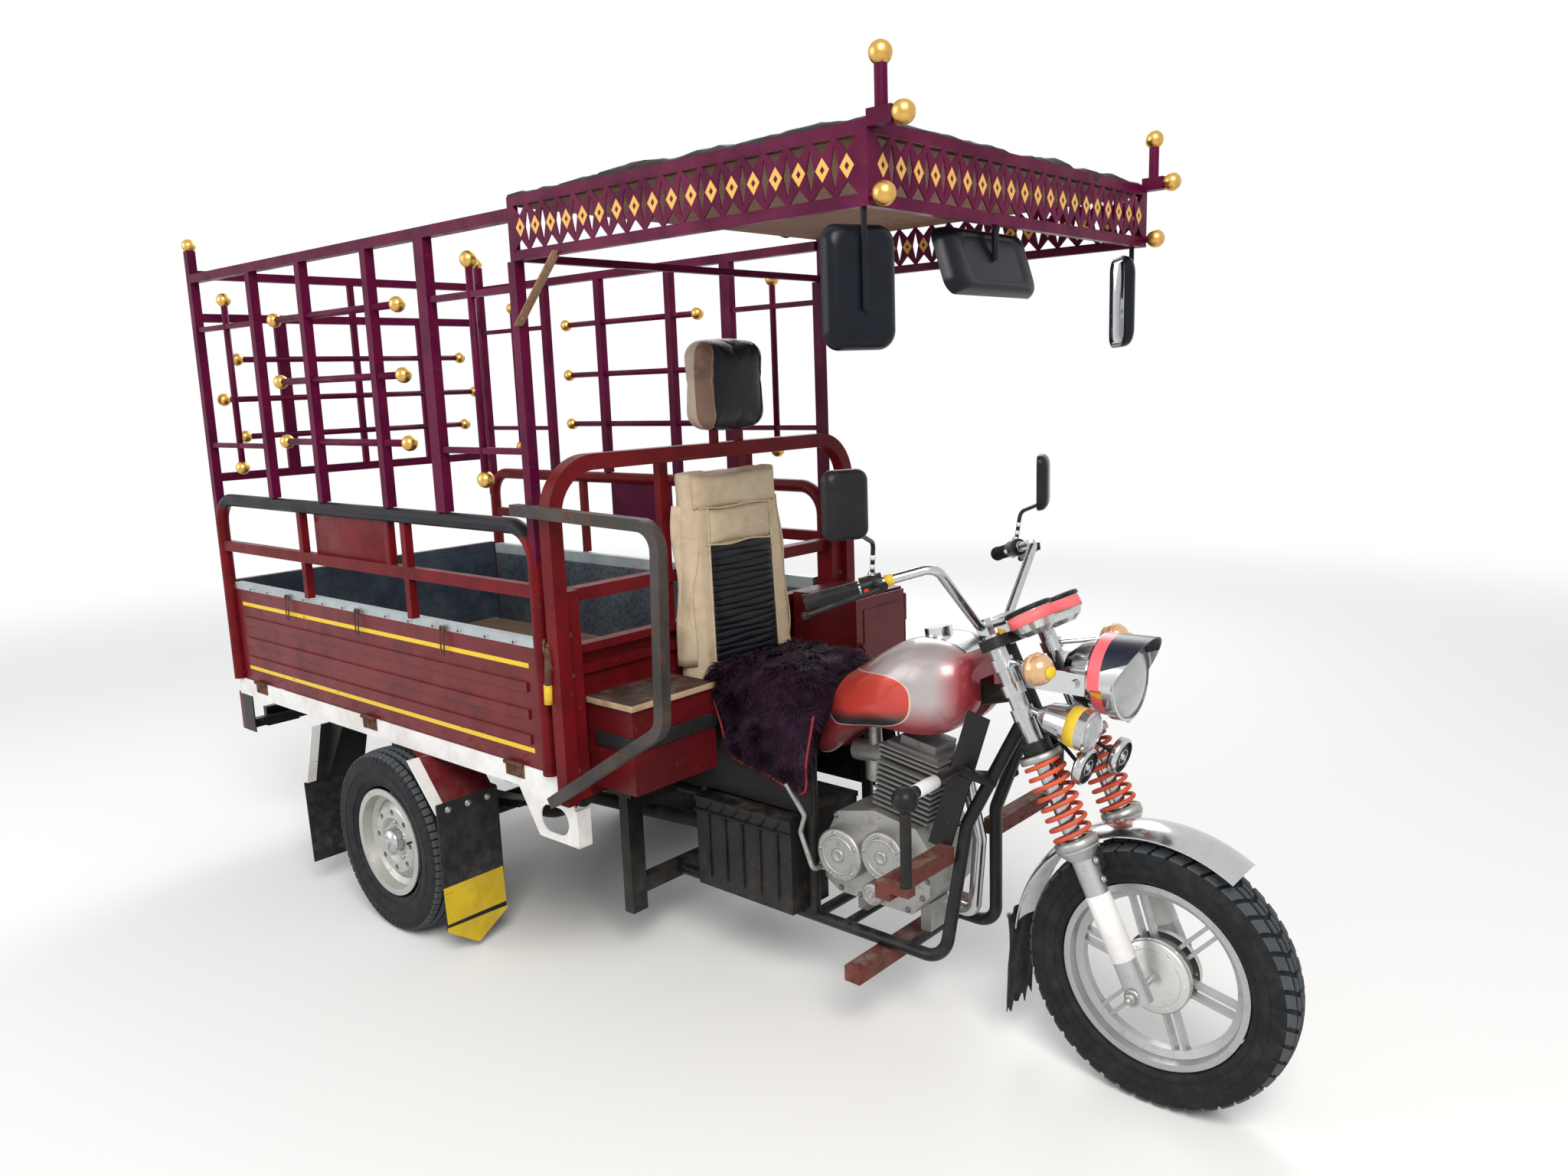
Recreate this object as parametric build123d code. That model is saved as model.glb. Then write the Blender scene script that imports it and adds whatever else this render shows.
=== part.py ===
# Cargo motor tricycle: a motorcycle front end with a covered driver's place,
# a steel cargo box with a caged top, and two driven rear wheels.
# Lengths are in millimetres. X points forward, Y to the driver's left, Z up, and the ground is Z = 0.
# Places called "ahead" are measured forward from the rear axle; places "up the fork" along its tubes.
from build123d import *
from math import asin, cos, degrees, radians, sin, sqrt, tan
import os

os.makedirs("parts", exist_ok=True)

# Running gear
rear_axle_x = -688
wheelbase = 2153
front_tyre_radius = 302
front_tyre_width = 108
front_rim_radius = 212
front_rim_width = 74
front_bead_radius = 203
front_hub_radius = 68
front_hub_width = 96
front_spokes = 6
rear_tyre_radius = 282
rear_tyre_width = 133
rear_rim_radius = 166
rear_rim_width = 112
rear_bead_radius = 152
rear_track = 1140
rim_drop = 22
rim_wall = 5
brake_drum_radius = 108
axle_diameter = 15
stub_diameter = 44
axle_tube = 64
bearing_gap = 0.1
seat_gap = 0.3

# Steering
rake = 25.8
axis_offset = 50
fork_half_spacing = 112
fork_tube = 40
fork_leg = 52
fork_leg_top = 322
spring_diameter = 92
spring_wire = 10
spring_coils = 8
spring_low = 334
spring_high = 530
lower_clamp = 545
upper_clamp = 790
clamp_thickness = 26
fork_top = 822
stem_diameter = 30
head_tube = 54
fender_radius = 326
fender_crown = 18
fender_width = 126
fender_sheet = 3

# Cargo box
box_width = 1135
box_rear = 1048
box_front = 785
skirt_bottom = 577
skirt_top = 637
skirt_sheet = 4
wall_top = 986
wall_edge = 22
wall_thickness = 26
wall_sheet = 8
bead_height = 6
liner_sheet = 2
floor_thickness = 24
plank_count = 6
plank_gap = 4
hoop_tube = 42
hoop_bend = 90
hoop_top = 1280
hoop_middle_share = 0.45
post_width = 60
post_depth = 60
front_post_top = 1120
front_hoop_top = 1456
front_hoop_bend = 130
front_hoop_bar = 40
front_hoop_flare = 10.5
gate_thickness = 26
gate_gap = 6
gate_pin = 16

# Cage over the box
cage_bar = 28
cage_wide_bar = 44
cage_top = 2040
cage_rod = 14
knob_diameter = 32
ball_diameter = 44
corner_post_top = 2118

# Canopy over the driver
canopy_rear = 770
canopy_front = 1830
canopy_width = 1167
canopy_low = 1918
canopy_high = 2065
canopy_bar = 18
lattice_sheet = 3
lattice_pitch = 56
lattice_strip = 8
ceiling_sheet = 6
roof_rise = 34
mast_diameter = 24
mast_height = 88
stub_length = 52

# Frame
rail_half_spacing = 300
rail_width = 44
rail_low = 497
rail_high = 575
cradle_half_spacing = 120
cradle_tube = 32
cradle_z = 221
seat_rail_z = 735
backbone_tube = 46
neck_rise = 108
backbone_rear_z = 740
tank_clear = 8

# Engine
cylinder_foot = (1512, 537)
cylinder_lean = 9
engine_mounts = (1360, 1560)
mount_tube = 24
inlet_up = 112
outlet_up = 152

# Driver's place
toolbox_length = 190
toolbox_width = 291
toolbox_inset = 22.5
toolbox_low = 600
toolbox_top = 822
lid_thickness = 12
lid_knuckle = 14
lid_pin = 6
cabinet_length = 229.7
cabinet_width = 242.2
cabinet_top = 985
door_thickness = 10
box_sheet = 3
lid_gap = 1
guard_x = 1722
guard_ball = 60
guard_bar = 28
guard_y = 350
foot_bar = 40
foot_bar_z = 490
seat_rear = 955
seat_front = 1290
seat_width = 380
seat_low = 778
seat_top = 872
flap_low = 590
headrest_low = 1492

UP = (Align.CENTER, Align.CENTER, Align.MIN)
FROM_LEFT = (Align.MIN, Align.CENTER, Align.CENTER)


def ahead(distance):
    """X of a place at a distance forward of the rear axle."""
    return rear_axle_x + distance


# Derived places
half_box = box_width / 2
front_axle_x = ahead(wheelbase)
front_axle_z = front_tyre_radius
rear_axle_z = rear_tyre_radius
wheel_y = rear_track / 2
box_back_x = ahead(-box_rear)
box_front_x = ahead(box_front)
floor_top = skirt_top + floor_thickness
wall_inner = half_box - bead_height - wall_thickness
cage_y = canopy_width / 2 - cage_bar / 2
hoop_back_x = box_back_x + hoop_tube / 2
hoop_front_x = box_front_x - seat_gap - hoop_tube / 2
gate_hinge_x = box_back_x - gate_gap - gate_thickness / 2
gate_low = skirt_top + 10
gate_hinge_z = gate_low - 16
hoop_middle = wall_top + hoop_middle_share * (hoop_top - wall_top)
cage_foot = hoop_top + hoop_tube / 2 + seat_gap
cage_front_x = box_front_x - seat_gap - cage_bar / 2
front_hoop_x = box_front_x + post_depth
front_hoop_y = half_box + front_hoop_flare
guard_plane_y = front_hoop_y + front_hoop_bar / 2 + seat_gap + guard_bar / 2
toolbox_outer = half_box - post_width - toolbox_inset
toolbox_inner = toolbox_outer - toolbox_width
cabinet_outer = front_hoop_y - front_hoop_bar / 2 - seat_gap
cabinet_inner = cabinet_outer - cabinet_width
canopy_half = canopy_width / 2
fork_plane = Plane(
    origin=(front_axle_x, 0, front_axle_z),
    x_dir=(cos(radians(rake)), 0, sin(radians(rake))),
    z_dir=(-sin(radians(rake)), 0, cos(radians(rake))),
)


cylinder_plane = Plane(
    origin=(ahead(cylinder_foot[0]), 0, cylinder_foot[1] + seat_gap),
    x_dir=(cos(radians(cylinder_lean)), 0, -sin(radians(cylinder_lean))),
    z_dir=(sin(radians(cylinder_lean)), 0, cos(radians(cylinder_lean))),
)


def fork_point(up, forward=0, left=0):
    """Point at a height up the fork and a distance forward of its tubes."""
    return fork_plane.from_local_coords((forward, left, up))


def save(name, *shapes):
    """Write one node; solids that don't touch stay separate inside it."""
    solids = [solid for shape in shapes for solid in shape.solids()]
    node = solids[0] if len(solids) == 1 else Compound(children=solids)
    export_step(node, f"parts/{name}.step")


def rod(start, end, diameter):
    """Round bar between two points."""
    a, b = Vector(*start), Vector(*end)
    return Plane(origin=a, z_dir=b - a) * Cylinder(diameter / 2, (b - a).length, align=UP)


def block(x, y, z):
    """Box from three (low, high) pairs."""
    size = [abs(high - low) for low, high in (x, y, z)]
    centre = [(high + low) / 2 for low, high in (x, y, z)]
    return Pos(*centre) * Box(*size)


def square_bar(x, y, z, width, depth=None):
    """Upright bar around a centre (x, y) over a (low, high) height."""
    half, deep = width / 2, (depth or width) / 2
    return block((x - half, x + half), (y - deep, y + deep), z)


def bent_rod(points, radius, diameter):
    """Round tube along straight runs joined by arcs."""
    path = FilletPolyline(*points, radius=radius)
    return sweep(Plane(origin=path @ 0, z_dir=path % 0) * Circle(diameter / 2), path=path)


def bent_bar(points, radius, width, depth, across):
    """Rectangular tube along straight runs joined by arcs in one plane."""
    path = FilletPolyline(*points, radius=radius)
    section = Plane(origin=path @ 0, x_dir=across, z_dir=path % 0) * Rectangle(width, depth)
    return sweep(section, path=path)


def both_sides(shape):
    """The shape and its mirror image on the other side of the vehicle."""
    return [shape, mirror(shape, about=Plane.XZ)]


def fused(first, *others):
    """One solid from pieces that overlap or touch."""
    return first.fuse(*others) if others else first


def plate_xz(points, y, thickness):
    """Plate with an outline in the XZ plane, from y towards +Y."""
    with BuildSketch(Plane.XZ.offset(-y)) as face:
        with BuildLine():
            Polyline(*points, close=True)
        make_face()
    return extrude(face.sketch, thickness, dir=(0, 1, 0))


def knob(point, diameter):
    """Ball end on a rod."""
    return Pos(*point) * Sphere(diameter / 2)


def finial(foot, direction, post):
    """Ball with a flat seat as wide as the post under it."""
    radius = ball_diameter / 2
    drop = sqrt(radius**2 - (post / 2) ** 2)
    ball = Sphere(radius, arc_size1=-degrees(asin(drop / radius)), align=UP)
    return Plane(origin=foot, z_dir=direction) * ball


def turned(points):
    """Solid of revolution about the Y axis from an outline of (radius, y) points."""
    with BuildSketch() as face:
        with BuildLine():
            Polyline(*points, close=True)
        make_face()
    return revolve(face.sketch, axis=Axis.Y, revolution_arc=360)


def tyre(outer, width, bead, bead_width, flange):
    """Tyre with a rounded tread, bulged walls and upright beads between the rim flanges."""
    half = width / 2
    shoulder = outer - 0.20 * width
    bulge = bead + 0.52 * (outer - bead)
    with BuildSketch() as face:
        with BuildLine():
            tread = ThreePointArc((shoulder, half * 0.86), (outer, 0), (shoulder, -half * 0.86))
            wall = ThreePointArc(tread @ 1, (bulge, -half), (flange + 1.5, -bead_width / 2))
            seat = Polyline(wall @ 1, (bead, -bead_width / 2), (bead, bead_width / 2), (flange + 1.5, bead_width / 2))
            ThreePointArc(seat @ 1, (bulge, half), tread @ 0)
        make_face()
    return revolve(face.sketch, axis=Axis.Y, revolution_arc=360)


def rim(flange, width, bead):
    """Rim with two flanges, two bead seats and a drop centre."""
    half, seat, drop = width / 2, bead - seat_gap, bead - rim_drop
    outside = [
        (flange, half), (flange, half - rim_wall), (seat, half - rim_wall - 2), (seat - 3, half * 0.45),
        (drop, half * 0.30), (drop, -half * 0.30), (seat - 3, -half * 0.45),
        (seat, -half + rim_wall + 2), (flange, -half + rim_wall), (flange, -half),
    ]
    inside = [
        (seat - rim_wall, -half), (seat - rim_wall - 5, -half * 0.45), (drop - rim_wall, -half * 0.28),
        (drop - rim_wall, half * 0.28), (seat - rim_wall - 5, half * 0.45), (seat - rim_wall, half),
    ]
    return turned(outside + inside)


def front_wheel():
    """Cast wheel with paired spokes and a drum hub, and its tyre."""
    hoop = rim(front_rim_radius, front_rim_width, front_bead_radius)
    half = front_hub_width / 2
    hub = turned([(0, half), (30, half), (front_hub_radius - 14, half - 16), (front_hub_radius, half - 26),
                  (front_hub_radius + 6, -half + 16), (front_hub_radius - 2, -half + 8), (0, -half + 8)])
    bore = Rot(90, 0, 0) * Cylinder(axle_diameter / 2 + bearing_gap, 2 * front_hub_width)
    reach = front_bead_radius - rim_drop - rim_wall + 3 - (front_hub_radius - 10)
    arms = []
    for index in range(front_spokes):
        for offset in (-13, 13):
            arm = Box(reach, 22, 8, align=FROM_LEFT)
            arms.append(Rot(0, 360 / front_spokes * index + 12, 0) * Pos(front_hub_radius - 10, 0, offset) * arm)
    wheel = fused(hoop, hub, *arms) - bore
    rubber = tyre(front_tyre_radius, front_tyre_width, front_bead_radius, front_rim_width - 2 * rim_wall - 6, front_rim_radius)
    place = Pos(front_axle_x, 0, front_axle_z)
    save("front_rim", place * wheel)
    save("front_tyre", place * rubber)


def rear_wheel(name, side):
    """Pressed steel wheel with a dished disc, slots, hub cap and brake drum, and its tyre."""
    hoop = rim(rear_rim_radius, rear_rim_width, rear_bead_radius)
    drop = rear_bead_radius - rim_drop
    dish = turned([(0, 20), (58, 20), (70, 34), (100, 34), (drop - 2, 10), (drop - 2, 2), (98, 26), (72, 26), (60, 10), (0, 10)])
    for index in range(8):
        dish -= Rot(0, 45 * index, 0) * Pos(88, 30, 0) * Rot(90, 0, 0) * Cylinder(9, 30)
    cap = turned([(0, 12), (34, 12), (32, 46), (20, 54), (18, 66), (0, 66)])
    drum = turned([(0, 14), (60, 14), (brake_drum_radius - 6, 0), (brake_drum_radius, -12), (brake_drum_radius, -46), (0, -46)])
    bore = Pos(0, -36, 0) * Rot(90, 0, 0) * Cylinder(stub_diameter / 2 + bearing_gap, 40)
    wheel = fused(hoop, dish, cap, drum) - bore
    rubber = tyre(rear_tyre_radius, rear_tyre_width, rear_bead_radius, rear_rim_width - 2 * rim_wall - 6, rear_rim_radius)
    place = Pos(rear_axle_x, side * wheel_y, rear_axle_z) * Rot(0, 0, 0 if side > 0 else 180)
    save(f"rear_rim_{name}", place * wheel)
    save(f"rear_tyre_{name}", place * rubber)


def rear_axle():
    """Axle tube with the differential, brake plates, stub shafts and the propeller shaft."""
    plate_y = wheel_y - 48

    def across(low, high, diameter):
        return rod((rear_axle_x, low, rear_axle_z), (rear_axle_x, high, rear_axle_z), diameter)

    pieces = [Pos(rear_axle_x, 0, rear_axle_z) * Sphere(112)]
    pieces.append(rod((rear_axle_x, 0, rear_axle_z), (rear_axle_x + 170, 0, rear_axle_z), 84))
    for side in (-1, 1):
        pieces.append(across(side * (plate_y - 12), side * plate_y, 2 * brake_drum_radius - 6))
        pieces.append(across(side * plate_y, side * (plate_y + 32), stub_diameter))
    pieces.append(rod((rear_axle_x + 165, 0, rear_axle_z), (ahead(1245), 0, 352), 46))
    save("rear_axle", fused(across(-plate_y, plate_y, axle_tube), *pieces))


def leaf_springs():
    """Two packs of leaves, each clamped on the axle tube and hung from the side rail at its eyes."""
    leaf_lengths = (340, 520, 700, 880)
    leaf_thickness, leaf_width, camber = 8, 50, 62
    base = rear_axle_z + axle_tube / 2 + seat_gap
    y = rail_half_spacing
    pack = block((rear_axle_x - 60, rear_axle_x + 60), (y - 30, y + 30), (base, base + 16))
    z = base + 14
    for length in leaf_lengths:
        half = length / 2
        rise = camber * (length / leaf_lengths[-1]) ** 2
        with BuildSketch(Plane.XZ.offset(-y + leaf_width / 2)) as face:
            with BuildLine():
                low = ThreePointArc((-half, z + rise), (0, z), (half, z + rise))
                end = Line(low @ 1, (half, z + rise + leaf_thickness))
                high = ThreePointArc(end @ 1, (0, z + leaf_thickness), (-half, z + rise + leaf_thickness))
                Line(high @ 1, low @ 0)
            make_face()
        pack = fused(pack, Pos(rear_axle_x, 0, 0) * extrude(face.sketch, leaf_width, dir=(0, 1, 0)))
        z += leaf_thickness
    for end in (-1, 1):
        eye_x, eye_z = rear_axle_x + end * leaf_lengths[-1] / 2, z + camber - leaf_thickness / 2
        pack = fused(pack, rod((eye_x, y - 30, eye_z), (eye_x, y + 30, eye_z), 34))
        pack = fused(pack, block((eye_x - 16, eye_x + 16), (y - 30, y + 30), (eye_z, rail_low)))
        bolt_x = rear_axle_x + end * (axle_tube / 2 + 8)
        for offset in (-31, 31):
            pack = fused(pack, square_bar(bolt_x, y + offset, (base - 70, z + 10), 14, 12))
    pack = fused(pack, block((rear_axle_x - 52, rear_axle_x + 52), (y - 37, y + 37), (z, z + 10)))
    keeper = block((rear_axle_x - 52, rear_axle_x + 52), (y - 37, y + 37), (rear_axle_z - axle_tube / 2 - 12, rear_axle_z - axle_tube / 2 - seat_gap))
    save("leaf_springs", *both_sides(fused(pack, keeper)))


def cargo_frame():
    """Ladder frame under the box with cross bearers, the rear bar and its end plates."""
    back = box_back_x + 8
    rails = [
        block((back, ahead(780)), (side * rail_half_spacing - rail_width / 2, side * rail_half_spacing + rail_width / 2), (rail_low, rail_high))
        for side in (-1, 1)
    ]
    inner = half_box - skirt_sheet
    bearer_ahead = (-1018, -690, -345, 345, 560, 765)
    bearers = [block((ahead(p) - 18, ahead(p) + 18), (-inner, inner), (rail_high - 2, skirt_top)) for p in bearer_ahead]
    closing = block((back, back + 40), (-rail_half_spacing, rail_half_spacing), (rail_low + 10, rail_high))
    plates = [
        block((box_back_x - 24, box_back_x + 76), (side * (inner - 4), side * inner)[::side], (440, rail_high + 4))
        for side in (1, -1)
    ]
    bar = block((box_back_x - 10, box_back_x + 22), (-inner + 2, inner - 2), (442, 472))
    eyes = []
    for y in (-500, -190, 190, 500):
        low, high = y - 15, y + 15
        eye = rod((gate_hinge_x, low, gate_hinge_z), (gate_hinge_x, high, gate_hinge_z), gate_pin + 10)
        arm = block((gate_hinge_x, ahead(-1030)), (low, high), (gate_hinge_z - gate_pin / 2 - 5, gate_hinge_z + 6))
        bore = rod((gate_hinge_x, low - 1, gate_hinge_z), (gate_hinge_x, high + 1, gate_hinge_z), gate_pin + 2 * bearing_gap)
        eyes.append(fused(eye, arm) - bore)
    save("cargo_frame", fused(rails[0], rails[1], *bearers, closing, *plates, bar, *eyes))


def floor_boards():
    """Planks on the cross bearers, between the walls."""
    inner = wall_inner - 1
    pitch = (2 * inner + plank_gap) / plank_count
    back, front = box_back_x + 2, box_front_x - liner_sheet - seat_gap
    planks = []
    for index in range(plank_count):
        right = -inner + index * pitch
        planks.append(block((back, front), (right, right + pitch - plank_gap), (skirt_top, floor_top)))
    save("floor_boards", *planks)


def pressed_wall(length, height, bead_rows, bead_size):
    """Wall sheet along X with stiff edges and raised beads; its outer face looks towards -Y."""
    half = wall_thickness / 2
    pieces = [block((0, length), (-half, half), span) for span in ((0, 34), (height - 30, height))]
    pieces += [block((start, start + 30), (-half, half), (0, height)) for start in (0, length - 30)]
    pieces += [block((60, length - 60), (-half - bead_height, -half + 2), (z, z + bead_size)) for z in bead_rows]
    return fused(block((0, length), (-half, -half + wall_sheet), (0, height)), *pieces)


def side_walls():
    """Two pressed side walls between the upright ends of the guard rails."""
    back = hoop_back_x + hoop_tube / 2 + seat_gap
    front = hoop_front_x - hoop_tube / 2 - seat_gap
    wall = pressed_wall(front - back, wall_top - wall_edge - skirt_top, (64, 132, 206), 26)
    save("side_walls", *both_sides(Pos(back, -wall_inner - wall_thickness / 2, skirt_top) * wall))


def box_liner():
    """Galvanised sheets inside the walls, folded out over their top edges."""
    back = hoop_back_x + hoop_tube / 2 + seat_gap
    front = hoop_front_x - hoop_tube / 2 - seat_gap
    edge = wall_top - wall_edge
    sheet = block((back, front), (-wall_inner, -wall_inner + liner_sheet), (floor_top, edge))
    cap = block((back, front), (-half_box + bead_height, -wall_inner + liner_sheet), (edge, wall_top))
    side = fused(sheet, cap)
    inner = wall_inner - liner_sheet - 1
    end = block((box_front_x - liner_sheet, box_front_x), (-inner, inner), (skirt_top, 948))
    save("box_liner", *both_sides(side), end)


def front_wall():
    """Front wall of the box with its corner posts, rounded hoop and uprights."""
    face = box_front_x
    inner = half_box - post_width
    rail_x = face + front_hoop_bar / 2
    x, y = front_hoop_x, front_hoop_y
    low = skirt_bottom + seat_gap
    top = front_hoop_top - front_hoop_bar / 2
    sheet = block((face, face + 8), (-inner - 2, inner + 2), (rail_high - 20, 952))
    strip = block((face, face + 36), (-inner - 2, inner + 2), (950, 972))
    ribs = [block((face + 6, face + 20), (-inner + 30, inner - 30), (z, z + 26)) for z in (650, 730, 810, 890)]
    hoop = bent_bar(((x, -y, low), (x, -y, top), (x, y, top), (x, y, low)), front_hoop_bend, front_hoop_bar, front_hoop_bar, (1, 0, 0))
    middle = block((face, face + front_hoop_bar), (-inner - 2, inner + 2), (front_post_top - 34, front_post_top))
    posts = [
        block((face, face + post_depth), (side * inner, side * half_box)[::side], (skirt_bottom, front_post_top)) for side in (1, -1)
    ]
    uprights = [square_bar(rail_x, y, (960, top + 10), 24, 30) for y in (-170, 170)]
    links = [block((rail_x, x), (y - 15, y + 15), (top - 10, top + 10)) for y in (-170, 170)]
    stays = [square_bar(x, y, (top, headrest_low - seat_gap), 8, 30) for y in (0, 100)]
    save("front_wall", fused(sheet, strip, *ribs, hoop, middle, *posts, *uprights, *links, *stays))


def guard_hoop(diameter):
    """Guard rail of the right side: one tube up from the frame, over the wall and down again."""
    y = -cage_y
    ends = ((hoop_back_x, y, skirt_top), (hoop_back_x, y, hoop_top), (hoop_front_x, y, hoop_top), (hoop_front_x, y, skirt_top))
    return bent_rod(ends, hoop_bend, diameter)


def side_hoops():
    """Guard rails over the side walls: upright bent ends, top tube, middle rail and stays."""
    middle = block((hoop_back_x, hoop_front_x), (-cage_y - 12, -cage_y + 12), (hoop_middle - 17, hoop_middle + 17))
    stays = [square_bar(ahead(p), -cage_y, (wall_top, hoop_top), 24) for p in (-440, 170)]
    save("side_hoops", *both_sides(fused(guard_hoop(hoop_tube), middle, *stays)))


def skirt_rails():
    """White edge plates under the side walls, each with a pierced bracket at the front."""
    outer = -half_box
    web = block((box_back_x, box_front_x), (outer, outer + skirt_sheet), (skirt_bottom, skirt_top))
    low = 455
    bracket = plate_xz(((ahead(615), skirt_bottom), (ahead(694), low), (ahead(856), low), (ahead(846), skirt_bottom)), outer, skirt_sheet)
    hole_x, hole_z = ahead(762), 512
    hole = Pos(hole_x, outer, hole_z) * Rot(90, 0, 0) * extrude(SlotOverall(116, 74), 40, both=True)
    flange = block((ahead(846), ahead(856)), (outer, outer + 44), (low, skirt_bottom - 22))
    save("skirt_rails", *both_sides(fused(web, bracket - hole, flange)))


def tailgate():
    """Rear wall of the box with beads, a galvanised inner face and its hinge tube."""
    half = half_box - 4
    back = box_back_x - gate_gap - gate_thickness
    front = box_back_x - gate_gap
    low, high = gate_low, wall_top
    sheet = block((back + 6, front - 2), (-half, half), (low, high - 4))
    frame = [block((back, front), span, (low, high)) for span in ((-half, -half + 36), (half - 36, half))]
    frame += [block((back, front), (-half, half), span) for span in ((low, low + 34), (high - 34, high))]
    beads = [block((back, back + 8), (-half + 70, half - 70), (z, z + 26)) for z in (720, 790, 860)]
    hinge = rod((gate_hinge_x, -half + 40, gate_hinge_z), (gate_hinge_x, half - 40, gate_hinge_z), gate_pin)
    ears = [block((gate_hinge_x - 8, gate_hinge_x + 8), (y - 20, y + 20), (gate_hinge_z, low + 2)) for y in (-380, 0, 380)]
    save("tailgate", fused(sheet, *frame, *beads, hinge, *ears))


def side_cages():
    """Open steel cage on each guard rail: corner posts, bars and rods with knobs."""
    y = -cage_y
    bend_z = hoop_top - hoop_bend
    ends = ((box_back_x + cage_bar / 2, corner_post_top), (cage_front_x, canopy_low - seat_gap))
    corners = [square_bar(x, y, (bend_z, high), cage_bar) - guard_hoop(hoop_tube + 2 * seat_gap) for x, high in ends]
    rail_end = ahead(canopy_rear) - seat_gap
    pieces = [block((box_back_x, rail_end), (y - cage_bar / 2, y + cage_bar / 2), (cage_top - cage_bar, cage_top))]
    posts = ((-605, cage_bar), (-280, cage_bar), (98, cage_bar), (378, cage_wide_bar))
    for place, width in posts:
        pieces.append(square_bar(ahead(place), y, (cage_foot, cage_top), width, cage_bar))
    for z in (1484, 1669, 1857):
        pieces.append(rod((ahead(-480), y, z), (ahead(232), y, z), cage_rod))
        pieces += [knob((ahead(p), y, z), knob_diameter) for p in (-480, 232)]
    bays = ((box_back_x + 20, ahead(-605)), (ahead(378), cage_front_x))
    for back, front in bays:
        for z in (1468, 1857):
            pieces.append(block((back, front), (y - 8, y + 8), (z - 8, z + 8)))
    for place in (-817, 578):
        pieces.append(rod((ahead(place), y, 1394), (ahead(place), y, 1942), cage_rod))
        pieces += [knob((ahead(place), y, z), knob_diameter) for z in (1394, 1942)]
    plate = block((ahead(-270), ahead(58)), (cage_y - 3, cage_y + 3), (hoop_middle + 17 + seat_gap, hoop_top - hoop_tube / 2 - seat_gap))
    save("side_cages", *both_sides(fused(pieces[0], *pieces[1:], *corners)), plate)


def rear_cage():
    """Rear panel of the cage between the corner posts."""
    x = box_back_x + cage_bar / 2
    half = cage_y - cage_bar / 2 - seat_gap
    rails = [block((x - 13, x + 13), (-half, half), (z - 14, z + 14)) for z in (1355, 1898, 2040)]
    uprights = [square_bar(x, side * 285, (1355, 1898), 14, 42) for side in (-1, 1)]
    uprights += [square_bar(x, 0, (1355, 2040), 14, 22)]
    rods = []
    for z, reach in ((1490, 452), (1621, 512), (1758, 452)):
        rods.append(rod((x, -reach, z), (x, reach, z), cage_rod))
        rods += [knob((x, side * reach, z), knob_diameter) for side in (-1, 1)]
    save("rear_cage", fused(rails[0], *rails[1:], *uprights, *rods))


def canopy_frame():
    """Bar frame of the canopy with its front stubs, masts and ball stubs."""
    back, front = ahead(canopy_rear), ahead(canopy_front)
    size, half = canopy_bar, canopy_half
    pieces = []
    for z in ((canopy_low, canopy_low + size), (canopy_high - size, canopy_high)):
        pieces += [block((back, front), (side * half, side * (half - size))[::-side], z) for side in (-1, 1)]
        pieces += [block(span, (-half, half), z) for span in ((back, back + size), (front - size, front))]
    for side in (-1, 1):
        for x in (back, front - size):
            pieces.append(block((x, x + size), (side * half, side * (half - size))[::-side], (canopy_low, canopy_high)))
        y = side * (half - 14)
        pieces.append(block((front - 2, front + stub_length), (y - 14, y + 14), (canopy_high - 14, canopy_high + 16)))
        pieces.append(rod((front + 22, y, canopy_high + 14), (front + 22, y, canopy_high + mast_height), mast_diameter))
        low_y = side * (half - size / 2)
        pieces.append(rod((front - 2, low_y, canopy_low + 18), (front + 8, low_y, canopy_low + 18), 16))
    ribs = [block((back, front), (y - 10, y + 10), (canopy_high - size, canopy_high)) for y in (-190, 190)]
    save("canopy_frame", fused(pieces[0], *pieces[1:], *ribs))


def finial_balls():
    """Gold balls on the rear corner posts, the masts and the front corners of the canopy."""
    front = ahead(canopy_front)
    balls = []
    for side in (-1, 1):
        y = side * (canopy_half - 14)
        balls.append(finial((box_back_x + cage_bar / 2, side * cage_y, corner_post_top), (0, 0, 1), cage_bar))
        balls.append(finial((front + 22, y, canopy_high + mast_height), (0, 0, 1), mast_diameter))
        balls.append(finial((front + stub_length, y, canopy_high + 1), (1, 0, 0), 28))
        balls.append(finial((front + 8, side * (canopy_half - canopy_bar / 2), canopy_low + 18), (1, 0, 0), 16))
    save("finial_balls", *balls)


def lattice(length, height):
    """Pierced sheet of crossed strips with a pierced diamond at each crossing, drawn from its left end."""
    count = round(length / lattice_pitch)
    pitch = length / count
    half_w, half_h = pitch / 2, height / 2
    slack = lattice_strip * 0.62
    rim_strip = 5
    with BuildSketch() as face:
        with Locations((length / 2, height / 2)):
            Rectangle(length, height)
        for index in range(count):
            x = index * pitch
            for tip, base in ((half_h - 26, rim_strip), (half_h + 26, height - rim_strip)):
                with BuildLine():
                    Polyline((x + half_w - (half_w - slack), base), (x + half_w + (half_w - slack), base), (x + half_w, tip), close=True)
                make_face(mode=Mode.SUBTRACT)
            with Locations((x + half_w, half_h)):
                with BuildLine():
                    Polyline((-5, 0), (0, 9), (5, 0), (0, -9), close=True)
                make_face(mode=Mode.SUBTRACT)
        for index in range(count - 1):
            x = (index + 1) * pitch
            with BuildLine():
                Polyline((x, half_h - 40), (x + 10, half_h), (x, half_h + 40), (x - 10, half_h), close=True)
            make_face(mode=Mode.SUBTRACT)
    return extrude(face.sketch, lattice_sheet)


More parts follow.
